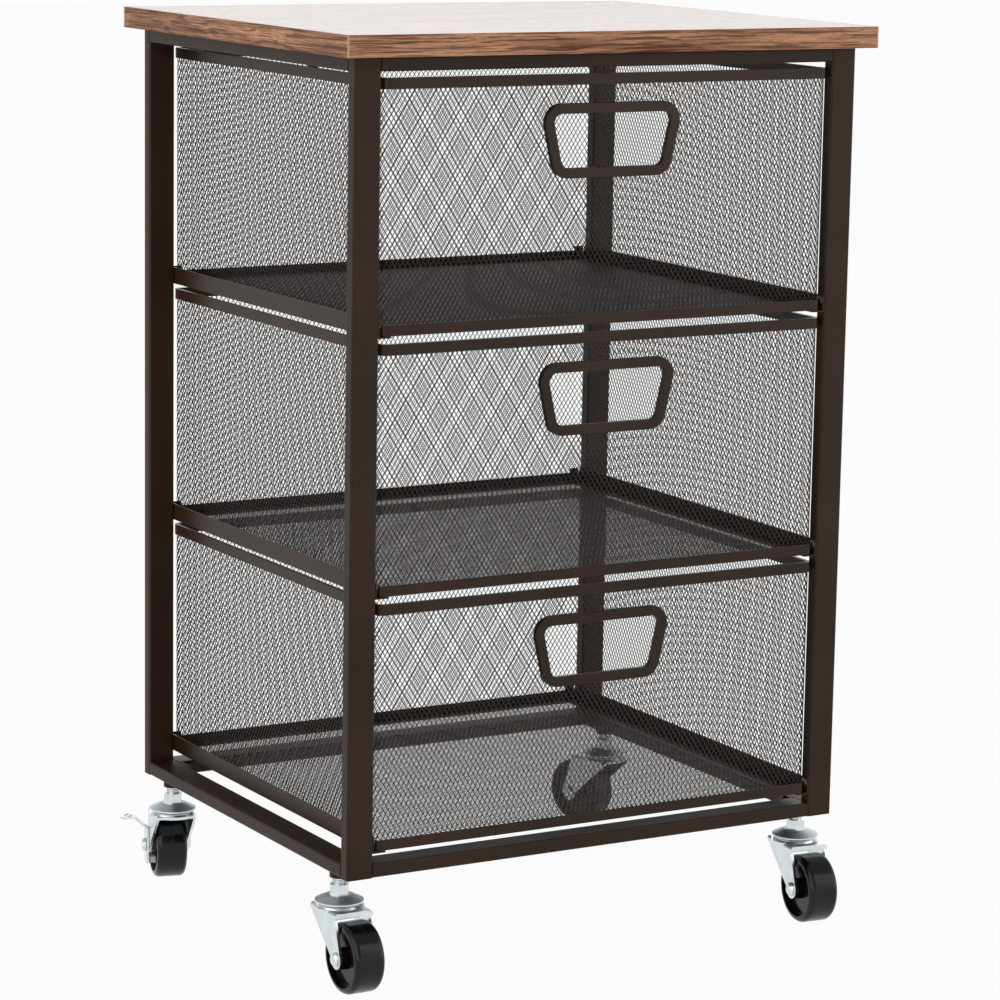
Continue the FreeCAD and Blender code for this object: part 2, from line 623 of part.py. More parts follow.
def diamonds(field):
    """Faces of staggered diamonds that fill a field of a given width and height around the origin."""
    width, height = (value(size) for size in field)
    pitch = value(WALL_WIDTH) / MESH_COLUMNS
    half_x = width / max(1, round(width / pitch)) / 2
    half_y = height / max(1, round(height / (pitch * DIAMOND_TALL_SHARE))) / 2
    open_share = 1 - value("MeshStrand") / 2 * math.hypot(half_x, half_y) / (half_x * half_y)
    corners = [Vector(half_x, 0, 0), Vector(0, half_y, 0), Vector(-half_x, 0, 0), Vector(0, -half_y, 0)]
    diamond = Part.Face(Part.makePolygon([corner * open_share for corner in corners + corners[:1]]))
    faces = []
    for column in range(1, round(width / half_x)):
        for row in range(2 - column % 2, round(height / half_y), 2):
            spot = Vector(column * half_x - width / 2, row * half_y - height / 2, 0)
            faces.append(diamond.translated(spot))
    return faces


def punches(field, spot, turn, guard=None):
    """Prisms that cut a field of diamonds through a sheet at a spot, all but what a guard covers."""
    length = value("MeshSheet + 2 * CutOverrun")
    prisms = []
    for face in diamonds(field):
        prism = face.translated(Vector(0, 0, -length / 2)).extrude(Vector(0, 0, length))
        whole = prism.Volume
        prism.Placement = Placement(point(spot), turn).multiply(prism.Placement)
        rest = prism.cut(guard).Solids if guard else [prism]
        prisms += [solid for solid in rest if solid.Volume > WHOLE_DIAMOND_SHARE * whole]
    return prisms


def mesh_openings():
    """Cutting shape for the walls and the floor of a basket, with plain sheet left below the handle."""
    ring = new_body("handle_guard")
    cover = sketch_in(ring, "XZ_Plane")
    rounded_polygon(cover, handle_outline(0), "HandleRound + HandleBand")
    extrude(ring, "Pad", cover, "DrawerDepth")
    middle = f"BottomRimHeight + {WALL_HEIGHT} / 2"
    facing_y = Rotation(Vector(1, 0, 0), 90)
    facing_x = Rotation(Vector(1, 1, 1), 120)
    wall_y = f"({MESH_FRONT} - MeshSheet / 2)"
    wall_x = "(DrawerWidth / 2 - RimSheet - SheetFit - MeshSheet / 2)"
    floor = ("DrawerWidth - 2 * BottomRimShelf", "DrawerDepth - 2 * BottomRimShelf")
    prisms = punches(floor, (0, 0, "RimSheet + MeshSheet / 2"), Rotation())
    prisms += punches((WALL_WIDTH, WALL_HEIGHT), (0, f"-{wall_y}", middle), facing_y, ring.Shape)
    prisms += punches((WALL_WIDTH, WALL_HEIGHT), (0, wall_y, middle), facing_y)
    for _, side in SIDES:
        prisms += punches((WALL_DEPTH, WALL_HEIGHT), (signed(side, wall_x), 0, middle), facing_x)
    return Part.makeCompound(prisms)


def build_drawer(level, name, openings):
    """Mesh basket, folded top rim, angle bottom rim and handle ring of one drawer."""
    basket = new_body("basket")
    skin = "(RimSheet + SheetFit)"
    outer = sketch_in(basket, "XY_Plane", (0, 0, "RimSheet"))
    rounded_polygon(outer, drawer_outline(skin), f"DrawerRound - {skin}")
    extrude(basket, "Pad", outer, "DrawerHeight - 2 * RimSheet - SheetFit")
    inner = sketch_in(basket, "XY_Plane", (0, 0, "RimSheet + MeshSheet"))
    rounded_polygon(inner, drawer_outline(f"({skin} + MeshSheet)"), f"DrawerRound - {skin} - MeshSheet")
    extrude(basket, "Pocket", inner, "DrawerHeight", backwards=True)
    hole = sketch_in(basket, "XZ_Plane", (0, 0, f"{MESH_FRONT} - MeshSheet - CutOverrun"))
    hole_inset = "(HandleBand - HandleNeck - SheetFit)"
    rounded_polygon(hole, handle_outline(hole_inset), f"HandleRound + HandleBand - {hole_inset}")
    extrude(basket, "Pocket", hole, "MeshSheet + 2 * CutOverrun", backwards=True)

    top_rim = new_body("top_rim")
    ring = sketch_in(top_rim, "XY_Plane", (0, 0, "DrawerHeight - TopRimHeight"))
    rounded_polygon(ring, drawer_outline(0), "DrawerRound")
    rounded_polygon(ring, drawer_outline(RIM_CHANNEL), f"DrawerRound - {RIM_CHANNEL}")
    extrude(top_rim, "Pad", ring, "TopRimHeight")
    groove = sketch_in(top_rim, "XY_Plane", (0, 0, "DrawerHeight - RimSheet"))
    rounded_polygon(groove, drawer_outline("RimSheet"), "DrawerRound - RimSheet")
    inner_leg = f"({RIM_CHANNEL} - RimSheet)"
    rounded_polygon(groove, drawer_outline(inner_leg), f"DrawerRound - {inner_leg}")
    extrude(top_rim, "Pocket", groove, "TopRimHeight")

    bottom_rim = new_body("bottom_rim")
    shelf = sketch_in(bottom_rim, "XY_Plane")
    rounded_polygon(shelf, drawer_outline(0), "DrawerRound")
    polygon(shelf, drawer_outline("BottomRimShelf"))
    extrude(bottom_rim, "Pad", shelf, "RimSheet")
    strip = sketch_in(bottom_rim, "XY_Plane")
    rounded_polygon(strip, drawer_outline(0), "DrawerRound")
    rounded_polygon(strip, drawer_outline("RimSheet"), "DrawerRound - RimSheet")
    extrude(bottom_rim, "Pad", strip, "BottomRimHeight")

    handle = new_body("handle")
    back = f"({MESH_FRONT} - MeshSheet - SheetFit - HandleSheet)"
    through = "2 * HandleSheet + MeshSheet + 2 * SheetFit"
    for start, thickness, rim in ((back, "HandleSheet", 0), (back, through, "(HandleBand - HandleNeck)"),
                                  (f"{MESH_FRONT} + SheetFit", "HandleSheet", 0)):
        ring = sketch_in(handle, "XZ_Plane", (0, 0, start))
        rounded_polygon(ring, handle_outline(rim), f"HandleRound + HandleBand - {rim}")
        rounded_polygon(ring, handle_outline("HandleBand"), "HandleRound")
        extrude(handle, "Pad", ring, thickness)
    front = -value(f"{MESH_FRONT} + SheetFit + HandleSheet")
    ease(handle, "HandleEase",
         lambda edge: all(math.isclose(corner.Y, front, rel_tol=1e-6) for corner in edge.Vertexes))

    punch = doc.addObject("Part::Feature", f"mesh_openings_{name}")
    punch.Shape = openings
    for body in (basket, punch, top_rim, bottom_rim, handle):
        place(body, 0, DRAWER_Y, f"{runner_bottom(level)} + RunnerSheet + DrawerRest")
    mesh = cut(f"basket_{name}", basket, [punch])
    pieces = {"mesh_basket": mesh, "top_rim": top_rim, "bottom_rim": bottom_rim, "handle": handle}
    for kind, body in pieces.items():
        keep(body, f"drawer_{name}_{kind}")


def build_stem(name):
    """Stud, hex and king pin of one caster, with its peened head below the fork's plate."""
    stem = new_body("stem")
    profile = sketch_in(stem, "XZ_Plane")
    head_top = f"({PLATE_BOTTOM} - RunningFit)"
    stud_top = f"({FOOT_RAIL_TOP} - TubeWall - StudTipGap)"
    head_bottom = f"({head_top} - KingPinHeadHeight)"
    polygon(profile, [(0, head_bottom), ("KingPinHeadRadius", head_bottom), ("KingPinHeadRadius", head_top),
                      ("KingPinRadius", head_top), ("KingPinRadius", HEX_TOP), ("StudRadius", HEX_TOP),
                      ("StudRadius", stud_top), (0, stud_top)])
    revolve(stem, profile, "V_Axis")
    flats = sketch_in(stem, "XY_Plane", (0, 0, DISH_TOP))
    turns = [360 / HEX_SIDES * index for index in range(HEX_SIDES)]
    polygon(flats, [(f"HexRadius * cos({turn} deg)", f"HexRadius * sin({turn} deg)") for turn in turns])
    extrude(stem, "Pad", flats, "HexHeight")

    race = new_body("race")
    profile = sketch_in(race, "XZ_Plane")
    hole = "KingPinRadius + RunningFit"
    under = f"({BALL_Z} + BallRadius + BallFit)"
    inside = "(DishRadius - DishSkirt)"
    polygon(profile, [(hole, under), (inside, under), (inside, DISH_BOTTOM), ("DishRadius", DISH_BOTTOM),
                      ("DishRadius", f"{DISH_BOTTOM} + DishLip"), ("DishFlat", DISH_TOP), (hole, DISH_TOP)])
    revolve(race, profile, "V_Axis")
    crown = value("DishFlat")
    ease(race, "DishEase", lambda edge: edge.Curve.TypeId == "Part::GeomCircle"
         and math.isclose(edge.Curve.Radius, crown, rel_tol=1e-6))
    return (stem, f"{name}_stem"), (race, f"{name}_upper_race")


def build_fork(name):
    """Pressed fork: round plate with a race, a front lip and two legs that end in eyes on the axle."""
    fork = new_body("fork")
    front = "(-ForkFront)"
    side = sketch_in(fork, "YZ_Plane")
    shoulder = ("ForkHeel / 2", f"{PLATE_BOTTOM} - ForkShoulder")
    polygon(side, [("ForkHeel", PLATE_TOP), ("ForkHeel", PLATE_BOTTOM), shoulder,
                   ("ForkEyeRadius - Trail", "WheelRadius"), ("-ForkEyeRadius - Trail", "WheelRadius"),
                   (front, LIP_BOTTOM), (front, PLATE_TOP)])
    extrude(fork, "Pad", side, f"2 * {FORK_OUTER}", "Symmetric")
    crease = value(PLATE_TOP)
    is_long = runs_along(Vector(0, 1, 0))
    ease(fork, "ForkBend",
         lambda edge: is_long(edge) and math.isclose(edge.CenterOfMass.z, crease, rel_tol=1e-6))
    eyes = sketch_in(fork, "YZ_Plane")
    circle(eyes, "ForkEyeRadius", "-Trail", "WheelRadius")
    extrude(fork, "Pad", eyes, f"2 * {FORK_OUTER}", "Symmetric")
    crown = sketch_in(fork, "XY_Plane", (0, 0, PLATE_BOTTOM))
    circle(crown, "ForkCrownRadius")
    extrude(fork, "Pad", crown, "ForkSheet")
    gap = sketch_in(fork, "YZ_Plane")
    ahead = "(-Trail - 2 * WheelRadius)"
    behind = "(2 * WheelRadius)"
    lip = f"{front} + ForkSheet"
    polygon(gap, [(ahead, "-CutOverrun"), (behind, "-CutOverrun"), (behind, PLATE_BOTTOM),
                  (lip, PLATE_BOTTOM), (lip, LIP_BOTTOM), (ahead, LIP_BOTTOM)])
    extrude(fork, "Pocket", gap, f"2 * {FORK_INNER}", "Symmetric")
    race = sketch_in(fork, "XZ_Plane")
    hole = "KingPinRadius + RunningFit"
    groove = "(BallRadius + BallFit)"
    outside = f"{BALL_TRACK} + {groove}"
    inside = f"{BALL_TRACK} - {groove}"
    bed = f"({RACE_TOP} - {GROOVE_DEPTH})"
    polygon(race, [(hole, PLATE_TOP), (RACE_RADIUS, PLATE_TOP), (f"{RACE_RADIUS} - RaceSlope", RACE_TOP),
                   (outside, RACE_TOP), (outside, bed), (inside, bed), (inside, RACE_TOP), (hole, RACE_TOP)])
    revolve(fork, race, "V_Axis")
    king = sketch_in(fork, "XY_Plane", (0, 0, f"{PLATE_BOTTOM} - CutOverrun"))
    circle(king, hole)
    extrude(fork, "Pocket", king, "ForkSheet + 2 * CutOverrun", backwards=True)
    axle = sketch_in(fork, "YZ_Plane")
    circle(axle, "AxleRadius + RunningFit", "-Trail", "WheelRadius")
    extrude(fork, "Pocket", axle, f"2 * ({FORK_OUTER} + CutOverrun)", "Symmetric")
    return fork, f"{name}_fork"


def build_wheel(name, brake_side):
    """Wheel with recessed sides and a hub, and the riveted axle, longer where it carries a brake lever."""
    wheel = new_body("wheel")
    profile = sketch_in(wheel, "XY_Plane", (0, "-Trail", "WheelRadius"))
    half = "(WheelWidth / 2)"
    hub = f"({FORK_INNER} - HubGap)"
    floor = f"({half} - RecessDepth)"
    inside = "(WheelRadius - RimRing)"
    bore = "AxleRadius + RunningFit"
    flank = [(hub, bore), (hub, "HubRadius"), (floor, "HubRadius + RecessDraft"),
             (floor, f"{inside} - RecessDraft"), (half, inside), (half, "WheelRadius")]
    polygon(profile, flank + [(f"-{x}", y) for x, y in reversed(flank)])
    revolve(wheel, profile, "H_Axis")
    outermost = value("WheelRadius")
    ease(wheel, "TreadRound", lambda edge: edge.Curve.TypeId == "Part::GeomCircle"
         and math.isclose(edge.Curve.Radius, outermost, rel_tol=1e-6))

    axle = new_body("axle")
    profile = sketch_in(axle, "XY_Plane", (0, "-Trail", "WheelRadius"))
    seats = {side: f"({FORK_OUTER} + RunningFit)" for _, side in SIDES}
    if brake_side:
        seats[brake_side] = f"({FORK_OUTER} + LeverSheet + 2 * LeverGap)"
    corners = []
    for side in (1, -1):
        seat = seats[side]
        end = f"({seat} + AxleHeadHeight)"
        head = [(seat, "AxleRadius"), (seat, "AxleHeadRadius"), (f"({end} - AxleHeadEase)", "AxleHeadRadius"),
                (end, "AxleHeadRadius - AxleHeadEase"), (end, 0)]
        head = [(signed(side, x), y) for x, y in head]
        corners += head if side == 1 else list(reversed(head))
    polygon(profile, corners)
    revolve(axle, profile, "H_Axis")
    return (wheel, f"{name}_wheel"), (axle, f"{name}_axle")


def build_brake(name, side):
    """Bent lever that turns on the axle beside one fork leg, and the shoe on its foot."""
    inner = f"({FORK_OUTER} + LeverGap)"
    outline = [(0, "-LeverFoot"), ("LeverSheet", "-LeverFoot"), ("LeverSheet", "LeverBend"),
               ("LeverReach", "LeverTop"), ("PedalReach", "LeverTop"),
               ("PedalReach", "LeverTop + LeverSheet"),
               (f"LeverReach - {BEND_SHARE} * LeverSheet", "LeverTop + LeverSheet"),
               (0, f"LeverBend + {BEND_SHARE} * LeverSheet")]
    lever = new_body("lever")
    profile = sketch_in(lever, "XZ_Plane", (0, 0, "Trail"))
    polygon(profile, [(signed(side, f"({inner} + {x})"), f"WheelRadius + {z}") for x, z in outline])
    extrude(lever, "Pad", profile, "LeverWidth", "Symmetric")
    tip = value(f"{inner} + PedalReach")
    upright = runs_along(Vector(0, 0, 1))
    ease(lever, f"{PEDAL_ROUND_SHARE} * LeverWidth",
         lambda edge: upright(edge) and math.isclose(abs(edge.CenterOfMass.x), tip, rel_tol=1e-6))
    hole = sketch_in(lever, "YZ_Plane")
    circle(hole, "AxleRadius + RunningFit", "-Trail", "WheelRadius")
    extrude(lever, "Pocket", hole, f"2 * ({FORK_OUTER} + LeverReach)", "Symmetric")

    shoe = new_body("shoe")
    block = sketch_in(shoe, "XZ_Plane", (0, 0, "Trail"))
    ends = [(signed(side, f"({inner} - {x})"), f"WheelRadius - LeverFoot + {z}")
            for x, z in rectangle(0, 0, "ShoeReach", "ShoeHeight")]
    polygon(block, ends)
    extrude(shoe, "Pad", block, "ShoeWidth", "Symmetric")
    return (lever, f"{name}_brake_lever"), (shoe, f"{name}_brake_shoe")


def build_casters():
    """Four casters below the side rails, each turned as it stands at rest. The rear ones stand turned
    about, with their brakes on the outside."""
    balls = []
    for end, end_sign in ENDS:
        for side, side_sign in SIDES:
            name = f"caster_{end}_{side}"
            turn = f"{end.capitalize()}{side.capitalize()}Turn"
            x = signed(side_sign, STEM_X)
            y = signed(end_sign, STEM_Y)
            brake_side = -side_sign if end == "rear" else 0
            for body, label in build_stem(name):
                place(body, x, y)
                keep(body, label)
            moving = [build_fork(name), *build_wheel(name, brake_side)]
            if brake_side:
                moving += build_brake(name, brake_side)
            for body, label in moving:
                place(body, x, y, 0, turn)
                keep(body, label)
            for index in range(BALLS_PER_RACE):
                angle = 2 * math.pi * index / BALLS_PER_RACE
                ring = Vector(math.cos(angle), math.sin(angle), 0) * value(BALL_TRACK)
                balls.append(Part.makeSphere(value("BallRadius"), point((x, y, BALL_Z)) + ring))
    group("swivel_balls", balls)


def main():
    build_posts()
    build_side_rails()
    build_cross_rails()
    build_board()
    build_runners()
    build_fasteners()
    openings = mesh_openings()
    for level, name in enumerate(DRAWERS):
        build_drawer(level, name, openings)
    build_casters()
    doc.recompute()
    failed = [item.Label for item in doc.Objects if {"Invalid", "Error"} & set(item.State)]
    if failed:
        raise RuntimeError(f"not built: {failed}")
    for label, target in nodes.items():
        if target.Shape.isNull() or not target.Shape.isValid() or not target.Shape.Solids:
            raise RuntimeError(f"{label}: no valid solid")
    os.makedirs("parts", exist_ok=True)
    for label, target in nodes.items():
        target.Shape.exportStep(os.path.join("parts", f"{label}.step"))
    print(len(nodes), "nodes")


main()
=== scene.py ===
import json
import math

import bpy
import numpy as np
from bpy.props import FloatProperty, FloatVectorProperty, PointerProperty
from mathutils import Matrix, Vector


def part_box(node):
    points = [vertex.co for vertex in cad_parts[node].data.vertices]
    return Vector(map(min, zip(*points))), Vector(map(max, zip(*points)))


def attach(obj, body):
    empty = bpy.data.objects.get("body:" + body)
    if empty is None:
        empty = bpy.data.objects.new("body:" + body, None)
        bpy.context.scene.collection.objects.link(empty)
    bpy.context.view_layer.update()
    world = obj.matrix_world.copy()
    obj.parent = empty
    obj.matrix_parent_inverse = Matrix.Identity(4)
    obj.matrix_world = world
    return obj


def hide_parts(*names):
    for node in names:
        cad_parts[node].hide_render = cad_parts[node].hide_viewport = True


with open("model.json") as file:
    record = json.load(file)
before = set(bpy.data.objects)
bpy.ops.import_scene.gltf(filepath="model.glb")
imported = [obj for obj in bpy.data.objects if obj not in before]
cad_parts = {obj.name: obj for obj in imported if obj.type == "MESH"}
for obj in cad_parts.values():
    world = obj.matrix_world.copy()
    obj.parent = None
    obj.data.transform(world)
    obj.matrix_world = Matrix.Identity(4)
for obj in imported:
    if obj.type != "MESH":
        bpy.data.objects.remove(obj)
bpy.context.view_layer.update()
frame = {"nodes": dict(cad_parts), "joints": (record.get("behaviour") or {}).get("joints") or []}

bl_info = {
    "name": "Rolling Storage Cart",
    "version": (1, 0, 0),
    "blender": (4, 5, 0),
    "location": "View3D > Sidebar > Cart",
    "description": "Dresses a rolling storage cart: mesh drawers, wood-look board and plated casters",
    "category": "Object",
}

NODES = frame["nodes"]
JOINTS = {joint["name"]: joint for joint in frame["joints"]}
DRAWERS = ("bottom", "middle", "top")
CASTERS = ("caster_front_left", "caster_front_right", "caster_rear_left", "caster_rear_right")
BRAKED = CASTERS[2:]
CART_MIDDLE = (0.0, 0.0, 0.35)
BOARD_MIDDLE = (0.0, 0.0, 0.65)
UP = (0.0, 0.0, 1.0)
WHITE = (1.0, 1.0, 1.0, 1.0)

# Noise cells per metre in the finishes. Three numbers are for X, Y and Z; wood grain runs along X.
COAT_CLOUDS, COAT_PEEL, COAT_SPECKS = 11.0, 850.0, 2600.0
MESH_PATCHES = 160.0
WOOD_WANDER = (7.0, 30.0, 30.0)
WOOD_PLANKS = (4.0, 40.0, 40.0)
WOOD_STREAKS = (8.0, 250.0, 250.0)
WOOD_LINES = (12.0, 1050.0, 1050.0)
WOOD_CHECKS = (26.0, 430.0, 430.0)
WOOD_FIBRES = (130.0, 2600.0, 2600.0)
PLATE_CLOUDS, PLATE_DRIFT = 120.0, 45.0
PLATE_MARKS = (2600.0, 2600.0, 260.0)
MOULD_FLOW, MOULD_GRAIN = 60.0, 1500.0
MOULD_SCUFFS = (300.0, 300.0, 1900.0)
FLOOR_SPECKLE = 300.0

# Depth of the relief in the finishes, sway of the wood grain, and another stretch of it for the side bands
COAT_DEPTH, WOOD_DEPTH, PLATE_DEPTH, MOULD_DEPTH = 0.0004, 0.0003, 0.0002, 0.0002
WOOD_SWAY = (0.0, 0.010, 0.010)
BAND_SHIFT_Y, BAND_SHIFT_Z = 0.31, 0.02

# Steps round and along the turned pieces
BEAD_SIDES, BEAD_STEPS = 12, 96
THREAD_RINGS, THREAD_STEPS = 64, 48

# The camera's image in millimetres, and how far it sees in metres
IMAGE_WIDE, SIGHT = 36.0, 50.0


def length(label, note, default):
    return FloatProperty(name=label, description=note, default=default, min=0.0, unit="LENGTH", precision=5)


def share(label, note, default):
    return FloatProperty(name=label, description=note, default=default, min=0.0, max=1.0)


def gain(label, note, default):
    return FloatProperty(name=label, description=note, default=default, min=0.0)


def tint(label, note, default):
    return FloatVectorProperty(name=label, description=note, default=default, size=3, min=0.0, max=1.0,
                               subtype="COLOR")


def spot(label, note, default):
    return FloatVectorProperty(name=label, description=note, default=default, size=3, subtype="TRANSLATION",
                               unit="LENGTH")


def angle(label, note, degrees):
    return FloatProperty(name=label, description=note, default=math.radians(degrees), subtype="ANGLE")


def watts(label, note, default):
    return FloatProperty(name=label, description=note, default=default, min=0.0, unit="POWER")


class CartMeshSizes(bpy.types.PropertyGroup):
    """Sizes of the drawers' diamond mesh"""
    diamond_wide: length("Diamond width", "Distance between diamonds along a wall", 0.0039)
    diamond_tall: length("Diamond height", "Distance between diamonds up a wall", 0.0060)
    strand_wide: length("Strand width", "Width of a strand across its run", 0.00047)
    strand_deep: length("Strand depth", "Thickness of a strand through the sheet", 0.0003)
    strand_tilt: length("Strand tilt", "How far a strand's upper edge leans out", 0.00008)
    sheet: length("Sheet", "Thickness of the sheet that the mesh stands for", 0.001)
    corner: length("Corner", "Radius of the upright corners, outside", 0.0051)
    rim_cover: length("Rim cover", "Top of the mesh that the folded rim hides", 0.0062)
    hole_top: length("Hole top", "Half width of the finger hole at its upper edge", 0.0520)
    hole_bottom: length("Hole bottom", "Half width of the finger hole at its lower edge", 0.0415)
    hole_inset: length("Hole inset", "Hole inside the handle ring, above and below", 0.0045)


class CartDetailSizes(bpy.types.PropertyGroup):
    """Sizes of the small details: band ends, threads, mould lines and pedal rings"""
    band_sheet: length("Band sheet", "Raw end of an edge band that shows at a corner", 0.00104)
    hex_height: length("Hex height", "Hex between an upper race and the bare stud", 0.0070)
    thread_pitch: length("Thread pitch", "Climb of a stud's thread in one turn", 0.00125)
    thread_root: length("Thread root", "Inner radius of a stud's thread", 0.0042)
    thread_crest: length("Thread crest", "Outer radius of a stud's thread", 0.0049)
    thread_end: length("Thread end", "Thread short of the hex and of the boss", 0.0002)
    line_wide: length("Mould line width", "Width of the line round a wheel's tread", 0.0007)
    line_high: length("Mould line height", "Height of the line round a wheel's tread", 0.00012)
    line_sunk: length("Mould line depth", "Middle of the line below the tread", 0.00002)
    pedal_out: length("Pedal ring place", "Stamped ring of a pedal from the brake's axis", 0.0300)
    pedal_radius: length("Pedal ring radius", "Radius of a pedal's stamped ring", 0.0030)
    pedal_wide: length("Pedal ring height", "Height of a pedal's stamped ring", 0.0012)
    pedal_bead: length("Pedal ring bead", "Half width of a pedal's stamped ring", 0.0007)
    pedal_sunk: length("Pedal ring depth", "Middle of the ring below the pedal", 0.0001)


class CartFinishes(bpy.types.PropertyGroup):
    """Tones, roughness, sheen and relief of the finishes"""
    paint_dark: tint("Paint, dark", "Shaded tone of the bronze powder coat", (0.023, 0.0115, 0.0060))
    paint_light: tint("Paint, light", "Lit tone of the bronze powder coat", (0.039, 0.0205, 0.0115))
    paint_rough: share("Paint roughness", "Roughness of the frame's powder coat", 0.42)
    paint_sheen: share("Paint sheen", "Mirror share of the frame's powder coat", 0.16)
    trim_rough: share("Trim roughness", "Roughness of the coat on rims and handles", 0.33)
    trim_sheen: share("Trim sheen", "Mirror share of the coat on rims and handles", 0.18)
    coat_relief: share("Coat relief", "Strength of the powder coat's orange peel", 0.10)
    coat_specks: share("Coat specks", "Strength of the pale specks in the powder coat", 0.12)
    mesh_tint: tint("Mesh paint", "Tone of the painted mesh strands", (0.013, 0.0085, 0.0062))
    mesh_rough: share("Mesh roughness", "Least roughness of the painted strands", 0.30)
    mesh_sheen: share("Mesh sheen", "Mirror share of the painted strands", 0.35)
    wood_deep: tint("Wood, deep", "Darkest grain of the wood look", (0.048, 0.019, 0.0095))
    wood_mid: tint("Wood, middle", "Main tone of the wood look", (0.275, 0.118, 0.061))
    wood_pale: tint("Wood, pale", "Palest grain of the wood look", (0.54, 0.275, 0.158))
    wood_lines: share("Wood lines", "Strength of the thin dark lines", 0.72)
    wood_checks: share("Wood checks", "Strength of the short dark checks", 0.60)
    wood_fibres: share("Wood fibres", "Strength of the fine fibres", 0.40)
    wood_rough: share("Wood roughness", "Roughness of the board's laminate", 0.22)
    wood_sheen: share("Wood sheen", "Mirror share of the board's laminate", 0.5)
    wood_relief: share("Wood relief", "Strength of the grain's relief on the board", 0.03)
    band_lift: gain("Band lift", "Lightness of the edge bands, where the board is 1", 1.2)
    band_rough: share("Band roughness", "Roughness of the edge bands", 0.40)
    band_sheen: share("Band sheen", "Mirror share of the edge bands", 0.12)
    band_relief: share("Band relief", "Strength of the grain's relief on the edge bands", 0.12)
    seam: tint("Seam", "Raw end of an edge band at a corner", (0.58, 0.39, 0.20))
    zinc: tint("Zinc plate", "Tone of the plated caster pieces", (0.74, 0.79, 0.80))
    zinc_blue: tint("Zinc drift", "Bluish drift in the plated pieces", (0.68, 0.76, 0.83))
    zinc_rough: share("Zinc roughness", "Roughness of the plated pieces", 0.22)
    satin_rough: share("Satin roughness", "Roughness of the domed upper races", 0.46)
    plate_relief: share("Plate relief", "Strength of the draw marks in plated pieces", 0.05)
    screw_rough: share("Screw roughness", "Roughness of the runner screws", 0.32)
    oxide_rough: share("Oxide roughness", "Roughness of the blackened screws and bolts", 0.37)
    oxide: tint("Black oxide", "Tone of the blackened screws and bolts", (0.040, 0.038, 0.038))
    wheel: tint("Wheel", "Tone of the moulded wheels", (0.0045, 0.0043, 0.0045))
    wheel_rough: share("Wheel roughness", "Roughness of the moulded wheels", 0.15)
    wheel_sheen: share("Wheel sheen", "Mirror share of the moulded wheels", 0.28)
    wheel_relief: share("Wheel relief", "Strength of the grain on the wheels", 0.04)
    nylon: tint("Nylon", "Tone of the brake shoes", (0.80, 0.80, 0.76))
    nylon_rough: share("Nylon roughness", "Roughness of the brake shoes", 0.45)
    nylon_sheen: share("Nylon sheen", "Mirror share of the brake shoes", 0.5)
    nylon_relief: share("Nylon relief", "Strength of the grain on the brake shoes", 0.15)


class CartStage(bpy.types.PropertyGroup):
    """Camera, lights, room and floor"""
    eye: spot("Eye", "Place of the camera", (-1.3484, -2.3476, 0.8005))
    heading: angle("Heading", "Turn of the camera from +Y towards +X", 30.076)
    dip: angle("Dip", "Camera below the horizon", 10.418)
    roll: angle("Roll", "Camera about its own axis", 0.99)
    lens: FloatProperty(name="Lens", description="Focal length on a 36 mm wide image", default=134.9,
                        subtype="DISTANCE_CAMERA", unit="CAMERA")
    key_place: spot("Key place", "Large light on the left", (-2.5, -1.0, 1.5))
    fill_place: spot("Fill place", "Light in front, on the right", (2.3, -1.9, 1.4))
    sheen_place: spot("Sheen place", "Light behind the board", (1.9, 3.0, 1.75))
    key_wide: length("Key width", "Width of the large light on the left", 4.0)
    key_high: length("Key height", "Height of the large light on the left", 2.8)
    fill_wide: length("Fill width", "Width of the light in front", 3.0)
    fill_high: length("Fill height", "Height of the light in front", 2.6)
    sheen_wide: length("Sheen width", "Width of the light behind the board", 3.4)
    sheen_high: length("Sheen height", "Height of the light behind the board", 1.6)
    key: watts("Key", "Power of the large light on the left", 46.0)
    fill: watts("Fill", "Power of the light in front", 30.0)
    sheen: watts("Sheen", "Power of the light behind the board", 17.0)
    ambient: share("Ambient", "Strength of the even light from all round", 0.34)
    ceiling: share("Ceiling", "Brightness of the ceiling in mirrors, where the backdrop is 1", 0.5)
    ceiling_low: share("Ceiling start", "Rise of a ray at which the ceiling starts to show", 0.12)
    ceiling_high: share("Ceiling end", "Rise of a ray at which only the ceiling shows", 0.45)
    floor_dark: tint("Floor, dark", "Darker speckle of the floor", (0.84, 0.84, 0.84))
    floor_pale: tint("Floor, pale", "Paler speckle of the floor", (0.88, 0.88, 0.88))
    floor_glow: share("Floor glow", "How far the floor is plain white to the camera", 0.95)
    floor_half: length("Floor", "Half the side of the floor", 12.0)
    floor_drop: length("Floor drop", "Floor below the wheels", 0.0003)


GROUPS = (("cart_mesh", CartMeshSizes), ("cart_detail", CartDetailSizes), ("cart_finish", CartFinishes),
          ("cart_stage", CartStage))


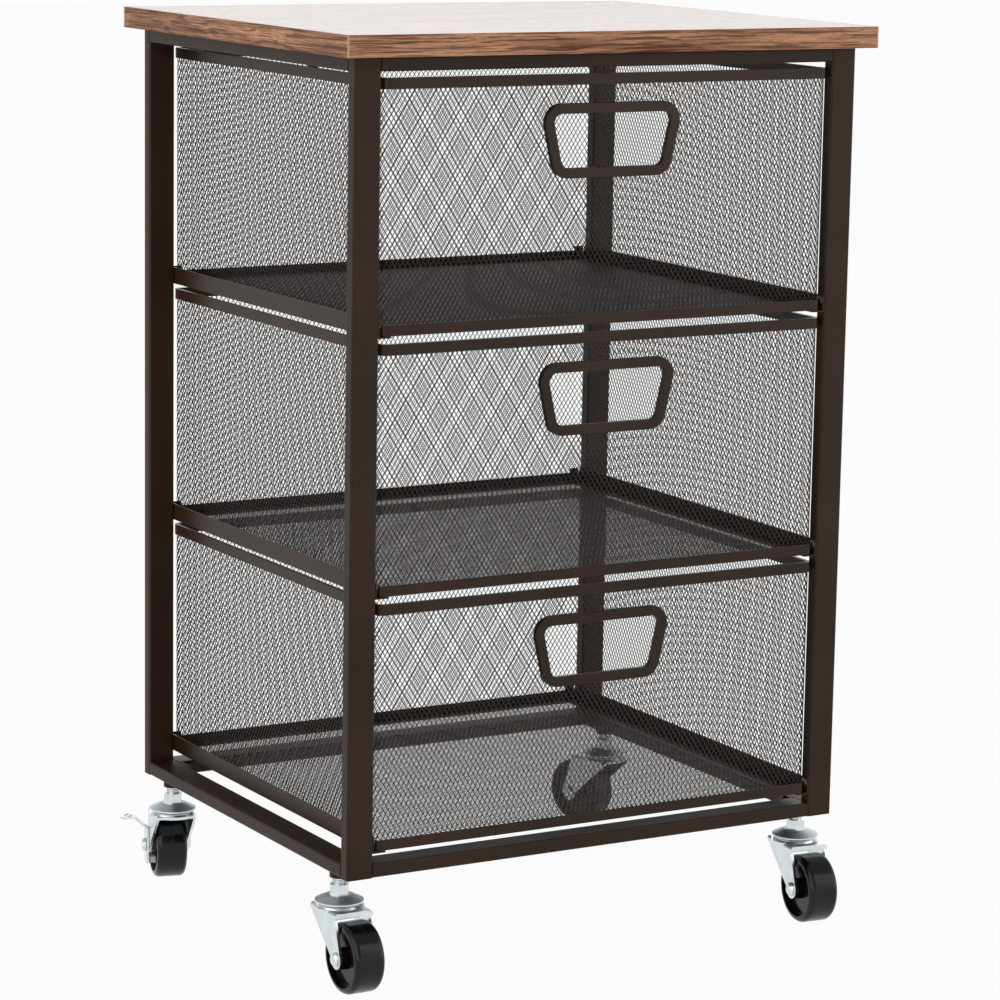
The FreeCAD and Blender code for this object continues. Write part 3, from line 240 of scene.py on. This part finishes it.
class Wire:
    """An output socket; sums, products and comparisons with it add Math nodes to its tree."""

    def __init__(self, recipe, socket):
        self.recipe = recipe
        self.socket = socket

    def math(self, operation, *others):
        return self.recipe.node("ShaderNodeMath", {"operation": operation}, dict(enumerate((self, *others))))

    def __add__(self, other):
        return self.math("ADD", other)

    def __sub__(self, other):
        return self.math("SUBTRACT", other)

    def __rsub__(self, other):
        return self.recipe.node("ShaderNodeMath", {"operation": "SUBTRACT"}, {0: other, 1: self})

    def __mul__(self, other):
        return self.math("MULTIPLY", other)

    def __gt__(self, other):
        return self.math("GREATER_THAN", other)

    def __abs__(self):
        return self.math("ABSOLUTE")

    __radd__ = __add__
    __rmul__ = __mul__

    def beside(self, output):
        """Another output of the same node."""
        return Wire(self.recipe, self.socket.node.outputs[output])

    def between(self, low, high):
        """0 at low, 1 at high, and a smooth rise between them; low may be the larger one."""
        sockets = {"Value": self, "From Min": low, "From Max": high}
        return self.recipe.node("ShaderNodeMapRange", {"interpolation_type": "SMOOTHSTEP"}, sockets)


class Recipe:
    """A node tree under construction."""

    def __init__(self, tree):
        self.tree = tree
        tree.nodes.clear()

    def node(self, kind, settings=None, sockets=None, output=0):
        """Any node: its settings first, then the values or wires of its sockets; gives one output."""
        made = self.tree.nodes.new(kind)
        for name, setting in (settings or {}).items():
            setattr(made, name, setting)
        for key, given in (sockets or {}).items():
            if isinstance(given, Wire):
                self.tree.links.new(given.socket, made.inputs[key])
            else:
                made.inputs[key].default_value = given
        return Wire(self, made.outputs[output])

    def place(self):
        """Place on the object, in metres."""
        return self.node("ShaderNodeTexCoord", output="Object")

    def split(self, vector):
        """The X part of a vector; Y and Z are beside it."""
        return self.node("ShaderNodeSeparateXYZ", None, {0: vector})

    def stretched(self, place, scale):
        return self.node("ShaderNodeVectorMath", {"operation": "MULTIPLY"}, {0: place, 1: scale})

    def noise(self, place, scale, detail=3.0, rough=0.55):
        sockets = {"Vector": place, "Scale": scale, "Detail": detail, "Roughness": rough}
        return self.node("ShaderNodeTexNoise", None, sockets)

    def blend(self, factor, first, second):
        """Colour that goes from first to second with the factor."""
        return self.node("ShaderNodeMix", {"data_type": "RGBA"}, {0: factor, 6: first, 7: second}, 2)

    def bump(self, height, strength, distance):
        sockets = {"Height": height, "Strength": strength, "Distance": distance}
        return self.node("ShaderNodeBump", None, sockets)

    def principled(self, sockets):
        return self.node("ShaderNodeBsdfPrincipled", None, sockets)

    def surface(self, shader, output="ShaderNodeOutputMaterial"):
        self.tree.links.new(shader.socket, self.tree.nodes.new(output).inputs["Surface"])


def full(colour, lift=1.0):
    """Colour for a socket, made lighter or darker."""
    return (*(min(1.0, lift * v) for v in colour), 1.0)


def new_finish(name):
    material = bpy.data.materials.new(name)
    material.use_nodes = True
    return material, Recipe(material.node_tree)


def powder_coat(name, finish, rough, sheen):
    """Satin powder coat: two tones in soft clouds, with a fine orange-peel grain in gloss and relief."""
    material, recipe = new_finish(name)
    place = recipe.place()
    clouds = recipe.noise(place, COAT_CLOUDS, 2.0)
    peel = recipe.noise(place, COAT_PEEL, 2.0)
    specks = recipe.noise(place, COAT_SPECKS, 1.0).between(0.62, 0.72)
    tone = recipe.blend((0.6 * clouds + 0.4 * peel).between(0.3, 0.7), full(finish.paint_dark),
                        full(finish.paint_light))
    recipe.surface(recipe.principled({
        "Base Color": recipe.blend(finish.coat_specks * specks, tone, full(finish.paint_light, 1.6)),
        "Roughness": rough + 0.16 * (peel - 0.5) + 0.06 * (clouds - 0.5),
        "Specular IOR Level": sheen, "Normal": recipe.bump(peel, finish.coat_relief, COAT_DEPTH)}))
    return material


def mesh_paint(finish):
    """Thin paint on the strands: one dark tone that thins out to a paler one in small patches."""
    material, recipe = new_finish("bronze_mesh_paint")
    patches = recipe.noise(recipe.place(), MESH_PATCHES, 2.0)
    colour = recipe.blend(patches.between(0.35, 0.75), full(finish.mesh_tint), full(finish.paint_light))
    recipe.surface(recipe.principled({
        "Base Color": colour, "Roughness": finish.mesh_rough + 0.16 * patches,
        "Specular IOR Level": finish.mesh_sheen}))
    return material


def wood_look(name, finish, details, banded):
    """Rustic printed wood: warm streaks, thin dark lines, short checks and fine fibres along the grain.
    The grain runs along X; on bands that face sideways it runs along Y. The raw ends of the bands at
    the corners show as a pale seam."""
    material, recipe = new_finish(name)
    lift, rough, sheen, relief = 1.0, finish.wood_rough, finish.wood_sheen, finish.wood_relief
    if banded:
        lift, rough = finish.band_lift, finish.band_rough
        sheen, relief = finish.band_sheen, finish.band_relief
    place = grain = recipe.place()
    along = recipe.split(place)
    across = along.beside(1)
    if banded:
        sideways = abs(recipe.split(recipe.node("ShaderNodeTexCoord", output="Normal"))) > 0.5
        swapped = recipe.node("ShaderNodeCombineXYZ", None,
                              {0: across, 1: along + BAND_SHIFT_Y, 2: along.beside(2) + BAND_SHIFT_Z})
        grain = recipe.node("ShaderNodeMix", {"data_type": "VECTOR"}, {0: sideways, 4: place, 5: swapped}, 1)
    wander = recipe.noise(recipe.stretched(grain, WOOD_WANDER), 1.0, 2.0)
    bent = recipe.node("ShaderNodeVectorMath", {"operation": "MULTIPLY_ADD"},
                       {0: recipe.node("ShaderNodeCombineXYZ", None, {1: wander, 2: wander}),
                        1: WOOD_SWAY, 2: grain})
    planks = recipe.noise(recipe.stretched(grain, WOOD_PLANKS), 1.0, 2.0)
    streaks = recipe.noise(recipe.stretched(bent, WOOD_STREAKS), 1.0, 2.0, 0.6)
    lines = recipe.noise(recipe.stretched(bent, WOOD_LINES), 1.0, 1.0)
    checks = recipe.noise(recipe.stretched(bent, WOOD_CHECKS), 1.0, 1.0)
    fibres = recipe.noise(recipe.stretched(bent, WOOD_FIBRES), 1.0, 2.0)
    colour = recipe.blend((0.6 * streaks + 0.4 * planks).between(0.36, 0.62), full(finish.wood_mid, lift),
                          full(finish.wood_pale, lift))
    for depth in (finish.wood_lines * (0.8 * lines + 0.2 * planks).between(0.52, 0.40),
                  finish.wood_checks * (0.5 * checks + 0.5 * streaks).between(0.45, 0.37),
                  finish.wood_fibres * fibres.between(0.54, 0.36)):
        colour = recipe.blend(depth, colour, full(finish.wood_deep))
    if banded:
        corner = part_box("edge_bands")[1]
        raw = (abs(along) > corner.x - details.band_sheet) * (abs(across) > corner.y - details.band_sheet)
        colour = recipe.blend(0.9 * raw, colour, full(finish.seam))
    recipe.surface(recipe.principled({
        "Base Color": colour, "Roughness": rough + 0.12 * (1.0 - checks) - 0.05,
        "Specular IOR Level": sheen,
        "Normal": recipe.bump(0.6 * lines + 0.4 * fibres, relief, WOOD_DEPTH)}))
    return material


def plated(name, finish, tone, drift_tone, rough):
    """Plated steel: cloudy tone with a drift to a second one, and fine draw marks in the gloss."""
    material, recipe = new_finish(name)
    place = recipe.place()
    clouds = recipe.noise(place, PLATE_CLOUDS, 3.0)
    drift = recipe.noise(place, PLATE_DRIFT, 1.0)
    marks = recipe.noise(recipe.stretched(place, PLATE_MARKS), 1.0, 2.0)
    colour = recipe.blend(clouds.between(0.3, 0.7), full(tone, 0.84), full(tone))
    recipe.surface(recipe.principled({
        "Base Color": recipe.blend(0.4 * drift.between(0.45, 0.7), colour, full(drift_tone)),
        "Metallic": 1.0, "Roughness": rough + 0.14 * (clouds - 0.5) + 0.08 * (marks - 0.5),
        "Normal": recipe.bump(marks, finish.plate_relief, PLATE_DEPTH)}))
    return material


def moulded(name, tone, rough, sheen, relief):
    """Moulded plastic: an even tone with faint flow clouds, scuffs in the gloss and a soft grain."""
    material, recipe = new_finish(name)
    place = recipe.place()
    flow = recipe.noise(place, MOULD_FLOW, 2.0)
    grain = recipe.noise(place, MOULD_GRAIN, 2.0)
    scuffs = recipe.noise(recipe.stretched(place, MOULD_SCUFFS), 1.0, 2.0).between(0.58, 0.74)
    recipe.surface(recipe.principled({
        "Base Color": recipe.blend(flow, full(tone, 0.8), full(tone, 1.2)),
        "Roughness": rough + 0.12 * scuffs + 0.06 * (flow - 0.5),
        "Specular IOR Level": sheen, "Normal": recipe.bump(grain, relief, MOULD_DEPTH)}))
    return material


def dress(material, names):
    """Gives one finish to several CAD nodes."""
    for name in names:
        slots = NODES[name].data.materials
        slots.clear()
        slots.append(material)


def new_piece(name, points, faces, material, body, replaced=()):
    """Mesh object from whole arrays of points and quads, riding on a body."""
    mesh = bpy.data.meshes.new(name)
    points = np.ascontiguousarray(points.reshape(-1, 3), dtype=np.float32)
    faces = np.ascontiguousarray(faces.reshape(-1, 4), dtype=np.int32)
    mesh.vertices.add(len(points))
    mesh.vertices.foreach_set("co", points.ravel())
    mesh.loops.add(faces.size)
    mesh.loops.foreach_set("vertex_index", faces.ravel())
    mesh.polygons.add(len(faces))
    mesh.polygons.foreach_set("loop_start", np.arange(0, faces.size, 4, dtype=np.int32))
    mesh.update(calc_edges=True)
    mesh.validate()
    mesh.materials.append(material)
    piece = bpy.data.objects.new(name, mesh)
    bpy.context.scene.collection.objects.link(piece)
    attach(piece, body)
    for node in replaced:
        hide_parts(node)
    return piece


def smooth(piece):
    piece.data.polygons.foreach_set("use_smooth", np.ones(len(piece.data.polygons), dtype=bool))


def strand_faces(kept, rings, closed):
    """Quads of rows of strands with four corners to a ring: the sides of every kept segment, and a cap
    wherever a run of kept segments starts or ends."""
    corner = np.arange(4)

    def ring_of(row, ring, corners):
        return (row[:, None] * rings + ring[:, None] % rings) * 4 + corners

    row, ring = np.nonzero(kept)
    sides = np.stack([ring_of(row, ring, corner), ring_of(row, ring + 1, corner),
                      ring_of(row, ring + 1, (corner + 1) % 4), ring_of(row, ring, (corner + 1) % 4)], -1)
    before, after = np.roll(kept, 1, axis=1), np.roll(kept, -1, axis=1)
    if not closed:
        before[:, 0] = after[:, -1] = False
    row, ring = np.nonzero(kept & ~before)
    starts = ring_of(row, ring, corner)
    row, ring = np.nonzero(kept & ~after)
    ends = ring_of(row, ring + 1, corner[::-1])
    return np.concatenate([sides.reshape(-1, 4), starts, ends])


def walk_rounded(width, depth, corner, travel):
    """Points and outward normals along a rounded rectangle, by distance travelled anticlockwise from
    the middle of its front side: straight runs, joined by quarter circles of the corner's radius."""
    arc = math.pi * corner / 2
    half_x, half_y = width / 2 - corner, depth / 2 - corner
    runs = (half_x, arc, 2 * half_y, arc, 2 * half_x, arc, 2 * half_y, arc, half_x)
    ends = np.cumsum(runs)
    part = np.minimum(np.searchsorted(ends, travel, side="right"), len(runs) - 1)
    gone = travel - (ends - runs)[part]
    bent = part % 2 == 1
    turn = (part // 2) * math.pi / 2 + np.where(bent, gone / corner, 0.0)
    starts = np.array([(0, -depth / 2), (half_x, -half_y), (width / 2, -half_y), (half_x, half_y),
                       (half_x, depth / 2), (-half_x, half_y), (-width / 2, half_y), (-half_x, -half_y),
                       (-half_x, -depth / 2)])
    heading = np.stack([np.cos(turn), np.sin(turn)], -1)
    normal = np.stack([np.sin(turn), -np.cos(turn)], -1)
    reach = np.where(bent, 0.0, gone)[..., None] * heading + np.where(bent, corner, 0.0)[..., None] * normal
    return starts[part] + reach, normal, ends[-1]


def zigzag(rows, rings, sizes):
    """Rise of every ring of every row: half a diamond per row, and a quarter up or down by turns, so
    that next rows are out of step and meet at the knuckles."""
    row, ring = np.meshgrid(np.arange(rows), np.arange(rings), indexing="ij")
    return row * sizes.diamond_tall / 2 + np.where((row + ring) % 2 == 0, 1, -1) * sizes.diamond_tall / 4


def strand_section(sizes):
    """Corners of a strand's section as (up, out): a flat bar whose upper edge leans out."""
    slope = math.hypot(sizes.diamond_wide, sizes.diamond_tall) / sizes.diamond_wide
    rise, deep, lean = sizes.strand_wide * slope / 2, sizes.strand_deep / 2, sizes.strand_tilt
    return np.array([(rise, deep + lean), (rise, -deep + lean), (-rise, -deep - lean), (-rise, deep - lean)])


def in_finger_hole(x, z, low, high, sizes):
    """True inside the trapezoid hole: its half width grows evenly from the lower to the upper edge."""
    bottom, top = low.z + sizes.hole_inset, high.z - sizes.hole_inset
    half = sizes.hole_bottom + (sizes.hole_top - sizes.hole_bottom) * (z - bottom) / (top - bottom)
    return (z > bottom) & (z < top) & (np.abs(x) < half)


def mesh_walls(drawer, sizes, material):
    """Walls of one basket: every row of strands is a zigzag hoop round the rounded rectangle, open where
    the finger hole is. The rows make two pieces, a lower and an upper one."""
    node = f"drawer_{drawer}_mesh_basket"
    low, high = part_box(node)
    ring_low, ring_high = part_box(f"drawer_{drawer}_handle")
    middle = (low + high) / 2
    outline = (high.x - low.x - sizes.sheet, high.y - low.y - sizes.sheet, sizes.corner - sizes.sheet / 2)
    around = walk_rounded(*outline, np.zeros(1))[2]
    rings = 2 * round(around / sizes.diamond_wide)
    plan, normal, _ = walk_rounded(*outline, np.arange(rings) * around / rings)
    foot = low.z + sizes.diamond_tall / 4 + sizes.sheet / 2
    rows = int((high.z - sizes.rim_cover - foot) / (sizes.diamond_tall / 2)) + 2
    level = foot + zigzag(rows, rings, sizes)
    section = strand_section(sizes)
    points = np.empty((rows, rings, len(section), 3))
    points[..., :2] = plan[:, None] + normal[:, None] * section[None, :, 1, None] + np.array(middle[:2])
    points[..., 2] = level[..., None] + section[:, 0]
    x = plan[:, 0] + middle.x
    half_way = (x + np.roll(x, -1)) / 2, (level + np.roll(level, -1, axis=1)) / 2
    hole = (plan[:, 1] < 0) & in_finger_hole(*half_way, ring_low, ring_high, sizes)
    for part, kept in (("lower", slice(0, rows // 2)), ("upper", slice(rows // 2, rows))):
        new_piece(f"drawer_{drawer}_mesh_walls_{part}", points[kept], strand_faces(~hole[kept], rings, True),
                  material, f"{drawer}_drawer", (node,))


def mesh_floor(drawer, sizes, material):
    """Floor of one basket: zigzag strands along X, row by row from front to rear, kept inside the
    rounded rectangle of the walls."""
    node = f"drawer_{drawer}_mesh_basket"
    low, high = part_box(node)
    middle = (low + high) / 2
    inset = sizes.sheet / 2
    corner = sizes.corner - inset
    half_x, half_y = (high.x - low.x) / 2 - inset, (high.y - low.y) / 2 - inset
    rings = 2 * int(half_x * 2 / sizes.diamond_wide) + 1
    rows = int(half_y * 2 / (sizes.diamond_tall / 2)) - 1
    x = (np.arange(rings) - (rings - 1) / 2) * sizes.diamond_wide / 2
    y = zigzag(rows, rings, sizes) - (rows - 1) * sizes.diamond_tall / 4
    section = strand_section(sizes)
    points = np.empty((rows, rings, len(section), 3))
    points[..., 0] = middle.x + x[:, None]
    points[..., 1] = middle.y + y[..., None] + section[:, 0]
    points[..., 2] = low.z + inset + section[:, 1]
    over_x = np.maximum(np.abs((x[1:] + x[:-1]) / 2) - (half_x - corner), 0.0)
    over_y = np.maximum(np.abs((y[:, 1:] + y[:, :-1]) / 2) - (half_y - corner), 0.0)
    inside = np.hypot(over_x, over_y) < corner
    new_piece(f"drawer_{drawer}_mesh_floor", points, strand_faces(inside, rings, False), material,
              f"{drawer}_drawer", (node,))


def revolved(radius, along, axis, centre, around):
    """Surface of revolution: rings of the given radii at the given places along an axis."""
    axis = np.array(axis) / np.linalg.norm(axis)
    side = np.cross(axis, UP if abs(axis[2]) < 0.9 else (1.0, 0.0, 0.0))
    side /= np.linalg.norm(side)
    turn = np.linspace(0.0, 2 * math.pi, around, endpoint=False)
    spoke = np.cos(turn)[:, None] * side + np.sin(turn)[:, None] * np.cross(axis, side)
    return np.array(centre) + along[:, None, None] * axis + radius[..., None] * spoke


def grid_faces(rings, around, closed):
    """Quads of a grid of rings round an axis; the last ring may join the first."""
    ring, step = np.meshgrid(np.arange(rings if closed else rings - 1), np.arange(around), indexing="ij")
    next_ring, ahead = (ring + 1) % rings, (step + 1) % around
    return np.stack([ring * around + step, ring * around + ahead,
                     next_ring * around + ahead, next_ring * around + step], -1)


def ring_piece(name, centre, axis, radius, wide, high, material, body):
    """Raised bead round an axis: an ellipse, wide along the axis and high outwards, turned round it."""
    turn = np.linspace(0.0, 2 * math.pi, BEAD_SIDES, endpoint=False)
    points = revolved((radius + high * np.cos(turn))[:, None], wide / 2 * np.sin(turn), axis, centre,
                      BEAD_STEPS)
    smooth(new_piece(name, points, grid_faces(BEAD_SIDES, BEAD_STEPS, True), material, body))


def stud_thread(caster, details, material):
    """Thread on the bare stretch of a stud: the radius swings between root and crest with the height
    less the part of the pitch that the turn has climbed. Both ends close to a point on the axis."""
    joint = JOINTS[f"{caster}_swivel_turn"]
    race_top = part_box(f"{caster}_upper_race")[1].z
    boss_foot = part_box("foot_rail_left")[0].z
    rise = np.linspace(race_top + details.hex_height + details.thread_end, boss_foot - details.thread_end,
                       THREAD_RINGS)
    climbed = np.linspace(0.0, 1.0, THREAD_STEPS, endpoint=False)
    wave = np.abs(((rise[:, None] / details.thread_pitch - climbed) % 1.0) * 2 - 1)
    radius = details.thread_root + (details.thread_crest - details.thread_root) * wave
    radius[[0, -1]] = 0.0
    points = revolved(radius, rise, UP, (joint["pos_m"][0], joint["pos_m"][1], 0.0), THREAD_STEPS)
    smooth(new_piece(f"{caster}_stud_thread", points, grid_faces(THREAD_RINGS, THREAD_STEPS, False), material,
                     "frame"))


class CART_OT_frame(bpy.types.Operator):
    """Powder coat on the posts, rails, runners, rims and handles"""
    bl_idname = "cart.frame"
    bl_label = "Coat Frame"

    def execute(self, context):
        finish = context.scene.cart_finish
        dress(powder_coat("bronze_powder_coat", finish, finish.paint_rough, finish.paint_sheen),
              [name for name in NODES if name.startswith(("post_", "foot_rail_", "top_rail_"))])
        dress(powder_coat("bronze_trim_coat", finish, finish.trim_rough, finish.trim_sheen),
              [name for name in NODES if name.endswith(("_top_rim", "_bottom_rim", "_handle"))
               or (name.startswith("runner_") and name != "runner_screws")])
        return {"FINISHED"}


class CART_OT_board(bpy.types.Operator):
    """Wood look on the board and its edge bands"""
    bl_idname = "cart.board"
    bl_label = "Finish Board"

    def execute(self, context):
        finish, details = context.scene.cart_finish, context.scene.cart_detail
        dress(wood_look("wood_board", finish, details, False), ["wood_top"])
        dress(wood_look("wood_edge_band", finish, details, True), ["edge_bands"])
        return {"FINISHED"}


class CART_OT_baskets(bpy.types.Operator):
    """Diamond mesh walls and floors of the drawers"""
    bl_idname = "cart.baskets"
    bl_label = "Weave Baskets"

    def execute(self, context):
        paint = mesh_paint(context.scene.cart_finish)
        for drawer in DRAWERS:
            mesh_walls(drawer, context.scene.cart_mesh, paint)
            mesh_floor(drawer, context.scene.cart_mesh, paint)
        return {"FINISHED"}


class CART_OT_casters(bpy.types.Operator):
    """Plated casters with their threads, moulded wheels, pedals and brake shoes"""
    bl_idname = "cart.casters"
    bl_label = "Finish Casters"

    def execute(self, context):
        finish, details = context.scene.cart_finish, context.scene.cart_detail
        plate = plated("zinc_plate", finish, finish.zinc, finish.zinc_blue, finish.zinc_rough)
        black = moulded("black_wheel", finish.wheel, finish.wheel_rough, finish.wheel_sheen,
                        finish.wheel_relief)
        dress(plate, ["swivel_balls"] + [name for name in NODES if name.startswith("caster_")])
        dress(plated("satin_zinc", finish, finish.zinc, finish.zinc_blue, finish.satin_rough),
              [f"{caster}_upper_race" for caster in CASTERS])
        dress(black, [f"{caster}_wheel" for caster in CASTERS])
        dress(moulded("white_nylon", finish.nylon, finish.nylon_rough, finish.nylon_sheen,
                      finish.nylon_relief), [f"{caster}_brake_shoe" for caster in BRAKED])
        for caster in CASTERS:
            stud_thread(caster, details, plate)
            roll = JOINTS[f"{caster}_roll"]
            tread = roll["pos_m"][2] - details.line_sunk
            ring_piece(f"{caster}_mould_line", roll["pos_m"], roll["axis"], tread, details.line_wide,
                       details.line_high, black, f"{caster}_roller")
        for caster in BRAKED:
            press = JOINTS[f"{caster}_brake_press"]
            outward = math.copysign(details.pedal_out, press["pos_m"][0] * press["axis"][0])
            centre = Vector(press["pos_m"]) + outward * Vector(press["axis"])
            centre.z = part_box(f"{caster}_brake_lever")[1].z - details.pedal_sunk
            ring_piece(f"{caster}_pedal_ring", centre, UP, details.pedal_radius, details.pedal_wide,
                       details.pedal_bead, plate, f"{caster}_brake")
        return {"FINISHED"}


class CART_OT_fasteners(bpy.types.Operator):
    """Zinc plate on the runner screws, black oxide on the hidden screws and bolts"""
    bl_idname = "cart.fasteners"
    bl_label = "Finish Fasteners"

    def execute(self, context):
        finish = context.scene.cart_finish
        dress(plated("screw_zinc", finish, finish.zinc, finish.zinc_blue, finish.screw_rough),
              ["runner_screws"])
        dress(plated("black_oxide", finish, finish.oxide, finish.paint_light, finish.oxide_rough),
              ["frame_bolts", "board_screws"])
        return {"FINISHED"}


def soft_light(name, place, target, wide, high, power):
    """Rectangular lamp that faces the target and isn't seen itself."""
    lamp = bpy.data.lights.new(name, "AREA")
    lamp.shape = "RECTANGLE"
    lamp.size, lamp.size_y = wide, high
    lamp.energy = power
    light = bpy.data.objects.new(name, lamp)
    light.location = place
    light.rotation_euler = (Vector(target) - Vector(place)).to_track_quat("-Z", "Y").to_euler()
    light.visible_camera = False
    bpy.context.scene.collection.objects.link(light)


class CART_OT_stage(bpy.types.Operator):
    """White floor, soft lights and the camera"""
    bl_idname = "cart.stage"
    bl_label = "Set Stage"

    def execute(self, context):
        stage = context.scene.cart_stage
        context.scene.view_settings.view_transform = "Standard"
        self.floor(context.scene, stage)
        self.sky(context.scene, stage)
        soft_light("key_left", stage.key_place, CART_MIDDLE, stage.key_wide, stage.key_high, stage.key)
        soft_light("fill_right", stage.fill_place, CART_MIDDLE, stage.fill_wide, stage.fill_high, stage.fill)
        soft_light("board_sheen", stage.sheen_place, BOARD_MIDDLE, stage.sheen_wide, stage.sheen_high,
                   stage.sheen)
        self.camera(context.scene, stage)
        return {"FINISHED"}

    def floor(self, scene, stage):
        """Pale floor that takes the shadow; the camera and mirrors see it as nearly plain white."""
        corners = [(x * stage.floor_half, y * stage.floor_half, -stage.floor_drop)
                   for x, y in ((-1, -1), (1, -1), (1, 1), (-1, 1))]
        mesh = bpy.data.meshes.new("floor")
        mesh.from_pydata(corners, [], [(0, 1, 2, 3)])
        floor = bpy.data.objects.new("floor", mesh)
        scene.collection.objects.link(floor)
        material, recipe = new_finish("pale_floor")
        speckle = recipe.noise(recipe.place(), FLOOR_SPECKLE, 2.0)
        matt = recipe.node("ShaderNodeBsdfDiffuse", None, {
            "Color": recipe.blend(speckle, full(stage.floor_dark), full(stage.floor_pale))})
        white = recipe.node("ShaderNodeEmission", None, {"Color": WHITE, "Strength": 1.0})
        seen = self.seen(recipe) * stage.floor_glow
        recipe.surface(recipe.node("ShaderNodeMixShader", None, {0: seen, 1: matt, 2: white}))
        mesh.materials.append(material)

    def seen(self, recipe):
        """1 for rays from the camera, mirrors and glass, and 0 for the light that falls on the object."""
        camera = recipe.node("ShaderNodeLightPath", output="Is Camera Ray")
        mirror, glass = camera.beside("Is Glossy Ray"), camera.beside("Is Transmission Ray")
        return camera.math("MAXIMUM", mirror).math("MAXIMUM", glass)

    def sky(self, scene, stage):
        """White all round, dimmed overhead where it is seen; an even weaker light elsewhere."""
        world = bpy.data.worlds.new("white_room")
        world.use_nodes = True
        scene.world = world
        recipe = Recipe(world.node_tree)
        rise = recipe.split(recipe.node("ShaderNodeTexCoord", output="Generated")).beside(2)
        backdrop = 1.0 - (1.0 - stage.ceiling) * rise.between(stage.ceiling_low, stage.ceiling_high)
        strength = stage.ambient + (backdrop - stage.ambient) * self.seen(recipe)
        white = {"Color": WHITE, "Strength": strength}
        recipe.surface(recipe.node("ShaderNodeBackground", None, white), "ShaderNodeOutputWorld")

    def camera(self, scene, stage):
        """Camera at the eye, turned by its heading, dip and roll."""
        camera = bpy.data.cameras.new("view")
        camera.sensor_width = IMAGE_WIDE
        camera.lens = stage.lens
        camera.clip_end = SIGHT
        east, north = math.sin(stage.heading), math.cos(stage.heading)
        level = Vector((north, -east, 0.0))
        ahead = Matrix.Rotation(-stage.dip, 3, level) @ Vector((east, north, 0.0))
        above = level.cross(ahead)
        right = math.cos(stage.roll) * level + math.sin(stage.roll) * above
        up = math.cos(stage.roll) * above - math.sin(stage.roll) * level
        turn = Matrix((right, up, -ahead)).transposed().to_4x4()
        holder = bpy.data.objects.new("view", camera)
        holder.matrix_world = Matrix.Translation(stage.eye) @ turn
        scene.collection.objects.link(holder)
        scene.camera = holder


OPERATORS = (CART_OT_frame, CART_OT_board, CART_OT_baskets, CART_OT_casters, CART_OT_fasteners, CART_OT_stage)


class CART_PT_panel(bpy.types.Panel):
    """Steps and sizes of the rolling storage cart"""
    bl_idname = "CART_PT_panel"
    bl_label = "Rolling Storage Cart"
    bl_space_type = "VIEW_3D"
    bl_region_type = "UI"
    bl_category = "Cart"

    def draw(self, context):
        layout = self.layout
        for operator in OPERATORS:
            layout.operator(operator.bl_idname)
        for name, group in GROUPS:
            box = layout.box()
            for field in group.__annotations__:
                box.prop(getattr(context.scene, name), field)


CLASSES = (*(group for _, group in GROUPS), *OPERATORS, CART_PT_panel)


def register():
    for item in CLASSES:
        bpy.utils.register_class(item)
    for name, group in GROUPS:
        setattr(bpy.types.Scene, name, PointerProperty(type=group))


def unregister():
    for name, _ in GROUPS:
        delattr(bpy.types.Scene, name)
    for item in reversed(CLASSES):
        bpy.utils.unregister_class(item)


def main():
    register()
    bpy.ops.cart.frame()
    bpy.ops.cart.board()
    bpy.ops.cart.baskets()
    bpy.ops.cart.casters()
    bpy.ops.cart.fasteners()
    bpy.ops.cart.stage()


if __name__ == "__main__":
    main()
